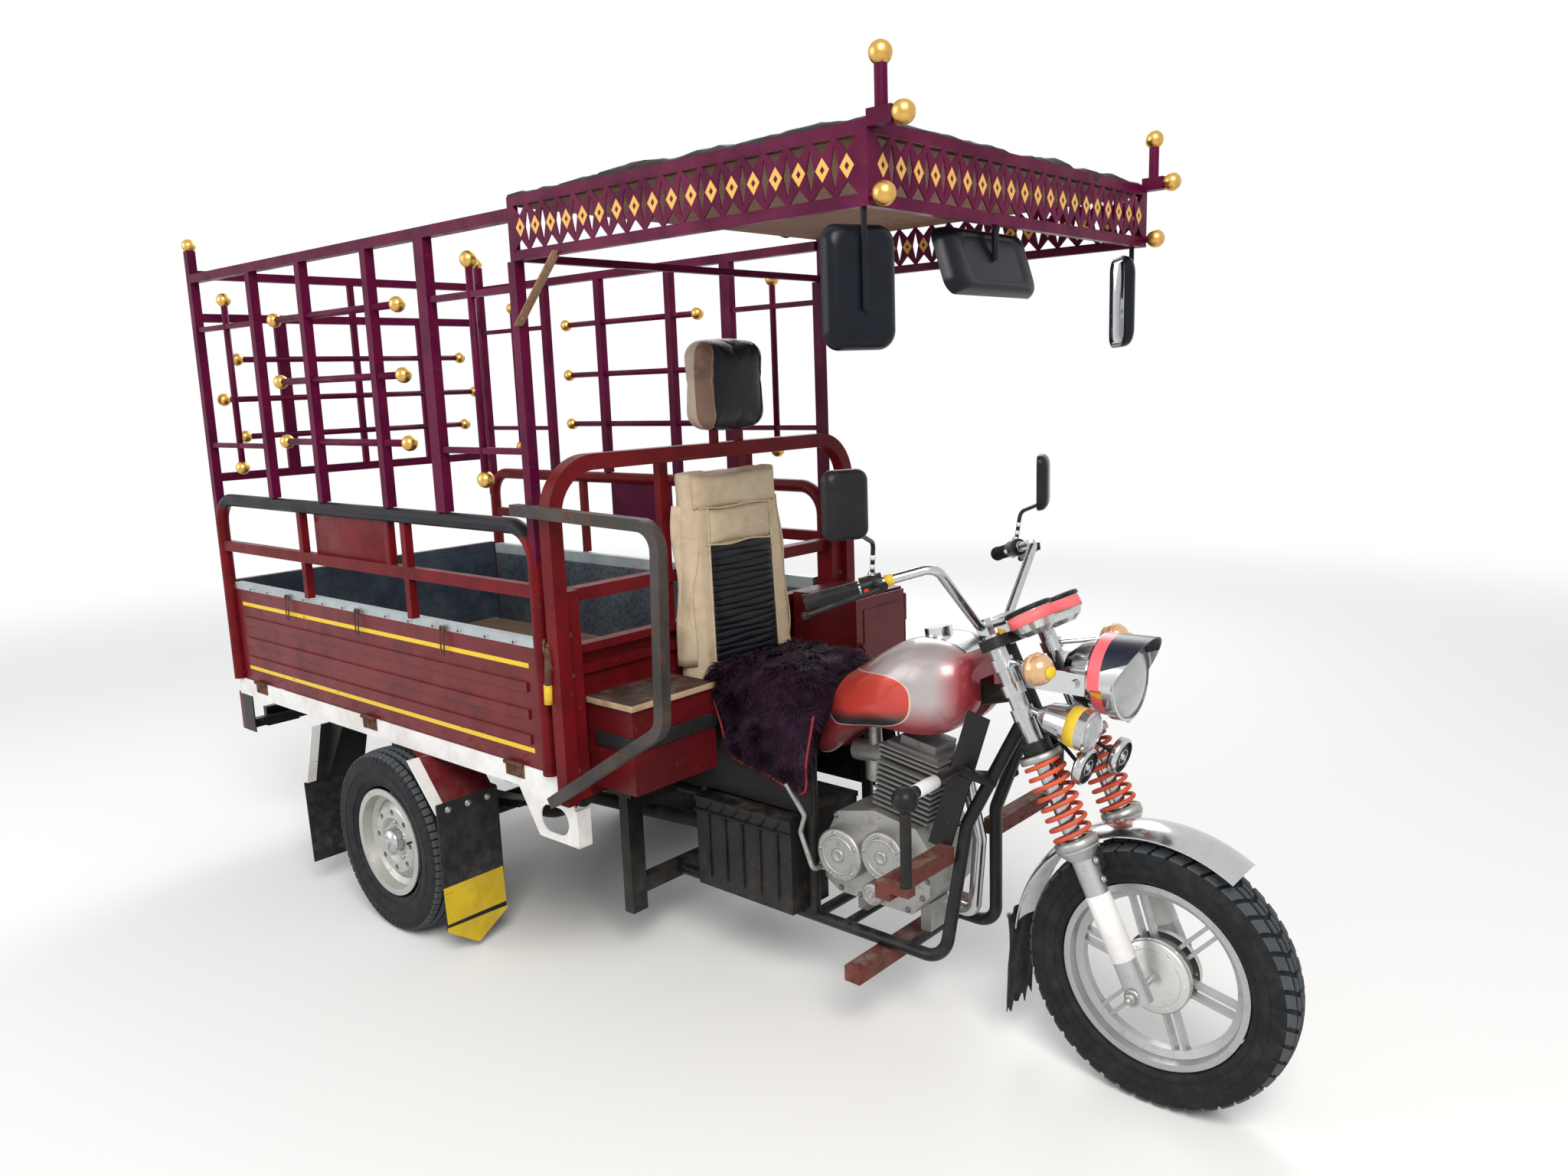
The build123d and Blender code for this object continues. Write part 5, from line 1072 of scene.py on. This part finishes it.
mirror("canopy_mirror_right", "chassis", place(1780, -556, 1780), -24, 0, 0.150, 0.226)
mirror("canopy_mirror_left", "chassis", place(1764, 566, 1786), 40, 0, 0.150, 0.226)
mirror("canopy_mirror_wide", "chassis", place(1790, -130, 1842), 0, -18, 0.350, 0.140)
mirror("bar_mirror_right", "steering", place(1652, -450, 1362), -24, 0, 0.104, 0.146)
mirror("bar_mirror_left", "steering", place(1616, 430, 1332), 24, 0, 0.104, 0.146)


# Lamps: ribbed lenses, bezels and painted bits.
def lens_finish(name, colour, deep, stripe=240):
    """Ribbed lens: stripe is the number of ribs in a metre."""
    f = Finish(name, Coat_Weight=1.0, Coat_Roughness=0.03, Specular_IOR_Level=0.7)
    rib = abs((f.y * stripe).wrap(1.0) - 0.5)
    smear = f.between(f.noise(18, 5, 0.7), 0.4, 0.75)
    f.bump(rib + f.noise(60, 2) * 0.2, 0.35, 0.0012)
    return f.wear(Base_Color=f.mix(smear * 0.4 + rib * 0.5, colour, deep), Roughness=0.10 + smear * 0.22, Metallic=0.25)


clear_lens = lens_finish("lens_clear", (0.34, 0.35, 0.355), (0.13, 0.135, 0.14))
amber_lens = lens_finish("lens_amber", (0.62, 0.36, 0.16), (0.36, 0.20, 0.10), 300)
red_lens = lens_finish("lens_red", (0.45, 0.02, 0.015), (0.20, 0.008, 0.008), 400)
yellow = painted("tape_yellow", (0.72, 0.50, 0.03), (0.55, 0.36, 0.03), chips=0.7, gloss=0.45)
coral = painted("tape_coral", (0.90, 0.16, 0.17), (0.70, 0.12, 0.12), chips=0.75, dusty=0.35, gloss=0.4)
white_tape = painted("tape_white", (0.72, 0.72, 0.72), (0.55, 0.55, 0.56), chips=0.72, gloss=0.5)
red_plastic = painted("button_red", (0.62, 0.02, 0.02), (0.45, 0.02, 0.02), chips=0.9, dusty=0.2, gloss=0.25)
lamp_at, lamp_way = place(1922, 0, 954), Vector((1, 0, 0.02)).normalized()
glass = [(0.084, 0.1505), (0.083, 0.1535), (0.060, 0.1595), (0.034, 0.1625), (0, 0.164)]
put("headlamp_lens", "steering", clear_lens, lathe(glass, lamp_at, lamp_way, 48))
rim = lathe([(0.0855, 0.1505), (0.0915, 0.1525), (0.0925, 0.1485)], lamp_at, lamp_way, 48)
screw_at = lamp_at + lamp_way * 0.148 + Vector((0, 0, -0.0925))
put("headlamp_bezel", "steering", chrome, rim, bolt(screw_at, (0.2, 0, -1), 0.008, 0.005))
spot_at, spot_way = place(1922, -122, 884), Vector((1, 0, -0.17)).normalized()
glass = [(0.0395, 0.1265), (0.038, 0.130), (0.024, 0.1345), (0, 0.136)]
put("spot_lens", "steering", clear_lens, lathe(glass, spot_at, spot_way, 36))
rim = [(0.0405, 0.078), (0.0452, 0.0785), (0.0468, 0.100), (0.0470, 0.103), (0.0455, 0.104)]
put("spot_band", "steering", yellow, lathe(rim, spot_at, spot_way, 36))
for side, word in SIDES:
    at, way = place(1950, side * 182, 1000), (0.97, side * 0.24, 0)
    bulb = [(0.0346 * math.sin(a), 0.0346 * math.cos(a)) for a in (math.pi * k / 16 for k in range(15))]
    put(f"signal_{word}", "steering", amber_lens, lathe(bulb, at, way, 32))
    lip = [(0.0345, -0.006), (0.0358, -0.0055), (0.0358, -0.0015), (0.0345, -0.001)]
    put(f"signal_ring_{word}", "steering", amber_lens, lathe(lip, at, way, 32))
    cap = [(0.014, 0), (0.014, 0.004), (0.010, 0.008), (0, 0.009)]
    put(f"signal_cap_{word}", "steering", yellow, lathe(cap, at + Vector((0.0325, side * 0.008, 0)), way, 16))
    for k, (near, far, material) in enumerate(((362, 398, red_lens), (400, 438, amber_lens), (440, 478, clear_lens))):
        y_low, y_high = sorted((side * near, side * far))
        lens = rounded_box(place(-1086, y_low, 434), place(-1081.5, y_high, 494), 0.0018)
        put(f"tail_lens_{word}_{k}", "chassis", material, lens)
heap = Heap()
for ahead, y in ((1996, -86), (2026, 22)):
    at, way = place(ahead, y, 776), Vector((1, 0, -0.25)).normalized()
    u, v, w = axes(way)
    heap.add(lathe([(0.0365, 0.0262), (0.0425, 0.0225), (0.0432, 0.016), (0.0425, 0.0095)], at, way, 40))
    arms = [u * math.cos(a) + v * math.sin(a) for a in (math.tau * k / 32 for k in range(33))]
    heap.add(tube([at + w * 0.0245 + arm * 0.018 for arm in arms], 0.0012, 6, ends=False))
    heap.add(dome(at + way * 0.0235, way, 0.008, 0.6))
heap.piece("horn_rings", "steering", chrome)


# Instruments: dials with plain ticks, a coral band and black rims.
tilt = math.radians(28)
dial_up = Vector((-math.sin(tilt), 0, math.cos(tilt)))
dial_across = Vector((math.cos(tilt), 0, math.sin(tilt)))
dials_at = place(1886, 0, 1048)


def dial_arm(degrees):
    """Direction of a tick or needle in a dial's face."""
    u, v, w = axes(dial_up)
    return u * math.cos(math.radians(degrees)) + v * math.sin(math.radians(degrees))


for side, word in SIDES:
    at = dials_at + Vector((0, side * 0.062, 0))
    put(f"dial_{word}", "steering", black_hide, lathe([(0.047, 0.0590), (0.020, 0.0592), (0, 0.0592)], at, dial_up, 40))
    heap = Heap()
    ticks, pivot = at + dial_up * 0.0598, at + dial_up * 0.0605
    for k in range(31):
        arm = dial_arm(-40 + 260 * k / 30)
        heap.add(tube([ticks + arm * 0.042, ticks + arm * (0.037 if k % 5 else 0.033)], 0.0006, 4))
    heap.add(tube([pivot, pivot + dial_arm(-30) * 0.034], [0.0015, 0.0005], 6))
    heap.piece(f"dial_marks_{word}", "steering", white_tape)
    rim = [(0.0535, 0.0535), (0.0556, 0.0545), (0.0556, 0.0620), (0.050, 0.0645), (0.0475, 0.0615)]
    put(f"dial_rim_{word}", "steering", plastic, lathe(rim, at, dial_up, 48))

rim_turns = [math.tau * (k + 0.5) / 60 for k in range(60)]


def gauge_band(i, j):
    """Band round both dials: rows j from its lower edge up."""
    swell, up = ((0, 0.026), (0.0012, 0.0265), (0.0012, 0.0505), (0, 0.051))[j]
    a, spread = rim_turns[i], 1 + swell / 0.052
    across, fore = math.copysign(0.062, math.cos(a)) + 0.0516 * math.cos(a), 0.0516 * math.sin(a)
    return dials_at + Vector((0, across * spread, 0)) + dial_across * (fore * spread) + dial_up * up


put("gauge_band", "steering", coral, surface(60, 4, gauge_band, wrap=True))


# Fittings on the box: hinges, latches, rivets and bolts, and the plates on the mud flaps.
rusty = painted("rusty_steel", (0.12, 0.055, 0.030), (0.05, 0.028, 0.020), chips=0.50, gloss=0.7)
plate_yellow = painted("plate_yellow", (0.60, 0.42, 0.01), (0.44, 0.30, 0.012), chips=0.66, dusty=0.7, gloss=0.45)
FORWARD = (1, 0, 0)
WALL_FACE = 567.5


def wall_plate(ahead, half, side, thick, z_low, z_high):
    """Thin plate on the outer face of a side wall, in millimetres."""
    y_low, y_high = sorted((side * WALL_FACE, side * (WALL_FACE + thick)))
    return rounded_box(place(ahead - half, y_low, z_low), place(ahead + half, y_high, z_high), 0.001)


for side, word in SIDES:
    out = Vector((0, side, 0))
    wall_y = side * WALL_FACE
    heap = Heap()
    for ahead in (-870, -142, 605):
        heap.add(wall_plate(ahead, 40, side, 3, 600, 634))
        pin = [(0, 0), (0.0060, 0), (0.0060, 0.080), (0, 0.080)]
        heap.add(lathe(pin, place(ahead - 40, wall_y + side * 5.0, 637), FORWARD, 12))
        for dx, z in ((-26, 612), (0, 622), (26, 612)):
            heap.add(bolt(place(ahead + dx, wall_y + side * 3, z), out, 0.009, 0.004))
    heap.piece(f"skirt_hinges_{word}", "chassis", rusty)
    heap = Heap()
    for ahead in (-598, -150, 315):
        bow = ((-9, 2, 978), (-9, 7, 968), (-7, 8, 905), (7, 8, 905), (9, 7, 968), (9, 2, 978))
        heap.add(tube(curve([place(ahead + dx, wall_y + side * dy, z) for dx, dy, z in bow], 4), 0.0022, 8))
        heap.add(wall_plate(ahead, 13, side, 4, 962, 980))
    heap.piece(f"wall_latches_{word}", "chassis", rusty)
    heap = Heap()
    for k in range(14):
        for z in (660, 972):
            heap.add(dome(place(-1000 + 126 * k, wall_y + side * 0.2, z), out, 0.0042, 0.6))
    heap.piece(f"wall_rivets_{word}", "chassis", box_paint)
    bolts = [bolt(place(800, wall_y, z), out, 0.014, 0.006) for z in (610, 700, 852, 940, 1040, 1096)]
    bolts += [bolt(place(845.6, side * 545, z), FORWARD, 0.013, 0.006) for z in (655, 905, 1010)]
    put(f"post_bolts_{word}", "chassis", rusty, *bolts)
    flap_y, face = side * 534, 309.3
    bolts = [bolt(place(face, flap_y + dy, 448), FORWARD, 0.015, 0.007) for dy in (-66, 0, 66)]
    put(f"flap_bolts_{word}", "chassis", cast, *bolts)
    leaning = Vector((0, 0.03 * side, 1))
    square = [(-0.101, -0.056), (0.101, -0.056), (0.101, 0.056), (-0.101, 0.056)]
    point = [(-0.104, -0.006), (-0.006, -0.074), (0.100, -0.008), (0.106, 0.001), (-0.103, 0.006)]
    heap = Heap().add(panel(square, place(face, flap_y, 164), (0, 1, 0), leaning, 0.002), smooth=False)
    heap.add(panel(point, place(face + 3.5, flap_y, 94), (0, 1, 0), leaning, 0.0018, 0.0006), smooth=False)
    for dy in (-84, 84):
        heap.add(dome(place(face + 2, flap_y + dy, 205), FORWARD, 0.005))
    heap.piece(f"flap_plate_{word}", "chassis", plate_yellow)

# Right front post: a bolt latch and yellow tape.
strap = [place(826, -597, 985), place(828, -601, 955), place(824, -602, 905), place(819, -601, 852)]
bar = [place(812, -597, 1006), place(818, -605, 980), place(832, -605, 960), place(838, -597, 930)]
put("post_latch", "chassis", rusty, tube(curve(strap, 4), 0.0095, 8),
    bolt(place(826, -594, 990), (0, -1, 0), 0.016, 0.007), tube(curve(bar, 4), 0.0035, 8))
wound = [place(821, -601.5, 892), place(819, -601, 862), place(818, -601, 842)]
put("post_tape", "chassis", yellow, tube(wound, 0.0115))

# Tool box: a worn rubber strip round its top and a pressed lid.
low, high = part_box("toolbox")
put("toolbox_strip", "chassis", rubber,
    rounded_box((high.x, low.y - 0.004, 0.714), (high.x + 0.006, high.y + 0.004, 0.752), 0.0028, 3),
    rounded_box((low.x + 0.05, low.y - 0.005, 0.714), (high.x + 0.004, low.y, 0.752), 0.0024, 3))
lid_edge = painted("lid_edge", (0.46, 0.34, 0.20), (0.28, 0.19, 0.11), chips=0.6, dusty=0.6, gloss=0.55)
lid_top = painted("lid_brown", (0.060, 0.030, 0.022), (0.035, 0.020, 0.016), chips=0.62, dusty=0.7, gloss=0.6)
low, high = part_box("toolbox_lid")
mat_ends = (low.x + 0.012, low.y + 0.008, high.z - 0.0020), (high.x - 0.008, high.y - 0.008, high.z - 0.0012)
put("toolbox_lid_mat", "toolbox_lid", lid_top, rounded_box(*mat_ends, 0.0004))
heap = Heap()
for i in range(9):
    for j in range(14):
        stud = [(0.0046, 0.0), (0.0042, 0.0012), (0.0026, 0.0012), (0.002, 0.0002)]
        heap.add(lathe(stud, (low.x + 0.026 + 0.0175 * i, low.y + 0.022 + 0.0196 * j, high.z - 0.0018), UP, 12))
heap.piece("toolbox_lid_studs", "toolbox_lid", lid_top)
foot, top = low.z - 0.001, high.z + 0.001
put("toolbox_lid_edge", "toolbox_lid", lid_edge,
    rounded_box((high.x - 0.0005, low.y - 0.001, foot), (high.x + 0.003, high.y + 0.001, top), 0.0012),
    rounded_box((low.x + 0.02, low.y - 0.003, foot), (high.x + 0.003, low.y + 0.0005, top), 0.0012))

# Battery box: raised lid lines.
low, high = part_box("battery_box")
heap = Heap()
for k in range(5):
    x = low.x + 0.05 + (high.x - low.x - 0.1) * k / 4
    heap.add(rounded_box((x - 0.004, low.y - 0.0022, low.z + 0.03), (x + 0.004, low.y + 0.001, high.z - 0.045), 0.0015))
for k in range(6):
    x = low.x + 0.04 + 0.05 * k
    line = [Vector((x, low.y - 0.001, high.z - 0.036)), Vector((x + 0.026, low.y - 0.001, high.z - 0.006))]
    heap.add(tube(line, 0.0018, 6))
heap.add(rounded_box((low.x - 0.003, low.y - 0.004, high.z - 0.042), (high.x + 0.002, low.y, high.z - 0.036), 0.0018))
heap.piece("battery_box_ribs", "chassis", plastic)

# Fender: a torn rubber flap hung from its rear end, with its bolts.
low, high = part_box("front_fender")


def torn_flap(i, j):
    s, t = i / 15 * 2 - 1, j / 17
    ragged = 0.040 * noise.noise(Vector((s * 4, 2, 5))) + 0.022 * noise.noise(Vector((s * 14, 8, 5)))
    down = 0.255 * t * (1 + ragged / 0.255)
    x = low.x - 0.006 - 0.012 * t + 0.004 * math.sin(7 * s + 5 * t) + 0.014 * s * s
    return Vector((x, s * (0.072 - 0.014 * t) + 0.002 * math.sin(9 * t), low.z + 0.030 - down))


flap = Heap().add(surface(16, 18, torn_flap)).piece("fender_flap", "steering", rubber, thick=0.003)
bolts = [bolt((low.x - 0.009, y, low.z + 0.018), (-1, 0, 0.2), 0.010, 0.005) for y in (-0.045, 0.045)]
put("fender_bolts", "steering", cast, *bolts)

# Handlebar: rings on the grips, switch buttons, bands on the mirror stems, tubes and risers.
for side, word in SIDES:
    tip, knee = place(1507, side * 405, 1137), place(1720, side * 218, 1205)
    way = (knee - tip).normalized()
    ring = [(0.0160, -0.0014), (0.0176, 0), (0.0160, 0.0014)]
    rings = [lathe(ring, tip + way * (0.008 + 0.0064 * k), way, 20) for k in range(17)]
    put(f"grip_rings_{word}", "steering", rubber, *rings)
    heap = Heap()
    u, v, w = axes(way)
    for k, (turn, tall) in enumerate(((0.3, 0.004), (1.2, 0.003), (2.3, 0.003))):
        arm = u * math.cos(turn) + v * math.sin(turn)
        button = [(0.006, 0), (0.006, tall), (0.0045, tall + 0.001), (0, tall + 0.001)]
        heap.add(lathe(button, tip + way * (0.132 + 0.012 * k) + arm * 0.0215, arm, 14))
    heap.piece(f"switches_{word}", "steering", red_plastic if side < 0 else white_tape)
    collar = band(tip + way * 0.176, tip + way * 0.196, 0.0125)
    put(f"bar_band_{word}", "steering", yellow if side < 0 else chrome, collar)
    stem_low = tip + way * 0.148 + Vector((0, 0, 0.010))
    stem_mid = stem_low + Vector((0.010, side * 0.006, 0.084))
    bands = [band(stem_low.lerp(stem_mid, k), stem_low.lerp(stem_mid, k + 0.13), 0.0057) for k in (0.30, 0.55)]
    put(f"stem_bands_{word}", "steering", white_tape, *bands)
    put(f"stem_nut_{word}", "steering", chrome, bolt(stem_low + Vector((0, 0, 0.012)), UP, 0.016, 0.008))
for side, word in SIDES:
    riser =rounded_box(place(1728, side * 42 - 14.8, 1010), place(1752, side * 42 + 14.8, 1024), 0.002)
    put(f"riser_band_{word}", "steering", yellow if side > 0 else plastic, riser)

# Engine: stepped rings, hubs and screws on the round covers, and bolts round the case.
heap = Heap()
for ahead, up, radius, y in ((1368, 424, 70, -150), (1498, 448, 66, -142), (1470, 345, 30, -150), (1380, 420, 66, 138),
                             (1520, 440, 70, 142)):
    face, out, wide = place(ahead, y, up), Vector((0, math.copysign(1, y), 0)), radius / 1000
    ring = [(0.74, 0), (0.72, 0.0024), (0.66, 0.0028), (0.63, 0.0004)]
    hub = [(0.27, 0), (0.26, 0.0034), (0.17, 0.0040), (0.15, 0.0028), (0, 0.0028)]
    heap.add(lathe([(wide * share, out_by) for share, out_by in ring], face, out, 44))
    heap.add(lathe([(wide * share, out_by) for share, out_by in hub], face, out, 28))
    if radius > 50:
        for spot in around(face, wide * 0.83, 5, 0.5):
            heap.add(bolt(spot, out, 0.0085, 0.0040))
heap.piece("cover_rings", "chassis", cast)
case_bolts = ((1300, 344), (1338, 312), (1400, 309), (1548, 310), (1592, 352), (1608, 400), (1612, 462), (1326, 508),
              (1298, 432), (1292, 392))
heads = [bolt(place(ahead, side * 100, up), (0, side, 0), 0.012, 0.006) for side in (-1, 1) for ahead, up in case_bolts]
put("engine_bolts", "chassis", finned, *heads)

# Leg guard: painted bands and black caps.
for side, word in SIDES:
    arm = place(1719.5, side * 306, 716.9), place(1714.5, side * 222, 714.7)
    put(f"guard_band_{word}", "chassis", white_tape, band(*arm, 0.0155))
    put(f"guard_cap_{word}", "chassis", plastic, ball(place(1722, side * 350, 712), UP, 0.0305, 16, 28))

# Leaf springs: nuts of their clips, under the axle.
heap = Heap()
for side in (-1, 1):
    for ahead in (-52, 52):
        for dy in (-26, 26):
            heap.add(bolt(place(ahead, side * 300 + dy, 258), (0, 0, -1), 0.017, 0.012))
heap.piece("spring_nuts", "chassis", rusty)


# Stage, lights and camera.


def stage():
    floor = bpy.data.meshes.new("floor")
    floor.from_pydata([(-30, -30, 0), (30, -30, 0), (30, 30, 0), (-30, 30, 0)], [], [(0, 1, 2, 3)])
    ground = bpy.data.objects.new("floor", floor)
    bpy.context.collection.objects.link(ground)
    f = Finish("floor_pale")
    f.wear(Base_Color=(0.80, 0.795, 0.78), Roughness=0.9)
    away = f.node("ShaderNodeVectorMath", {"operation": "LENGTH"}, f.place, out="Value")
    light = f.node("ShaderNodeEmission", {}, (1, 1, 1, 1), 1.0)
    path = f.node("ShaderNodeLightPath", out=None)
    seen = f.maths("MAXIMUM", Value(f, path.outputs["Is Camera Ray"]), Value(f, path.outputs["Is Glossy Ray"]))
    far = f.between(away, 3.5, 9.0) * seen
    mixed = f.node("ShaderNodeMixShader", {}, far, Value(f, f.surface.outputs[0]), light)
    f.tree.links.new(mixed.socket, f.tree.nodes["Material Output"].inputs["Surface"])
    floor.materials.append(f.material)

    world = bpy.data.worlds.new("studio")
    bpy.context.scene.world = world
    world.use_nodes = True
    tree = world.node_tree
    soft, white = tree.nodes["Background"], tree.nodes.new("ShaderNodeBackground")
    for light, colour, strength in ((soft, (0.92, 0.95, 1.0, 1), 0.55), (white, (1, 1, 1, 1), 1.0)):
        light.inputs["Color"].default_value = colour
        light.inputs["Strength"].default_value = strength
    path = tree.nodes.new("ShaderNodeLightPath")
    seen = path.outputs["Is Camera Ray"]
    for kind in ("Glossy", "Transmission"):
        either = tree.nodes.new("ShaderNodeMath")
        either.operation = "MAXIMUM"
        tree.links.new(seen, either.inputs[0])
        tree.links.new(path.outputs[f"Is {kind} Ray"], either.inputs[1])
        seen = either.outputs[0]
    joined = tree.nodes.new("ShaderNodeMixShader")
    for source, socket in zip((seen, soft.outputs[0], white.outputs[0]), joined.inputs):
        tree.links.new(source, socket)
    tree.links.new(joined.outputs[0], tree.nodes["World Output"].inputs["Surface"])

    lamps = (
        ("key", (4.2, -3.6, 5.2), (0.2, 0, 0.9), 3.2, 420, (1.0, 0.97, 0.93)),
        ("fill", (-3.5, -5.0, 3.0), (-0.4, 0, 1.0), 4.0, 150, (0.95, 0.97, 1.0)),
        ("rim", (-2.5, 4.5, 4.5), (0, 0, 1.0), 3.5, 190, (1.0, 1.0, 1.0)),
    )
    for name, spot, aim, size, power, colour in lamps:
        data = bpy.data.lights.new(name, "AREA")
        data.size, data.energy, data.color = size, power, colour
        lamp = bpy.data.objects.new(name, data)
        lamp.location = spot
        lamp.rotation_euler = (Vector(aim) - Vector(spot)).to_track_quat("-Z", "Y").to_euler()
        bpy.context.collection.objects.link(lamp)


def camera():
    """Camera at the photo's place, solved from the wheels, posts and rails."""
    yaw, pitch, roll = 2.2924, 0.1765, -0.0348
    ahead = Vector((math.cos(yaw) * math.cos(pitch), math.sin(yaw) * math.cos(pitch), -math.sin(pitch)))
    right = Vector((math.sin(yaw), -math.cos(yaw), 0))
    up = right.cross(ahead)
    right, up = math.cos(roll) * right + math.sin(roll) * up, math.cos(roll) * up - math.sin(roll) * right
    data = bpy.data.cameras.new("camera")
    data.sensor_width, data.lens = 36, 26.4
    eye = bpy.data.objects.new("camera", data)
    turn = Matrix((right, up, -ahead)).transposed().to_4x4()
    eye.matrix_world = Matrix.Translation((REAR_AXLE / 1000 + 3.10665, -2.29703, 1.61265)) @ turn
    bpy.context.collection.objects.link(eye)
    bpy.context.scene.camera = eye


stage()
camera()
bpy.context.scene.view_settings.view_transform = "Standard"
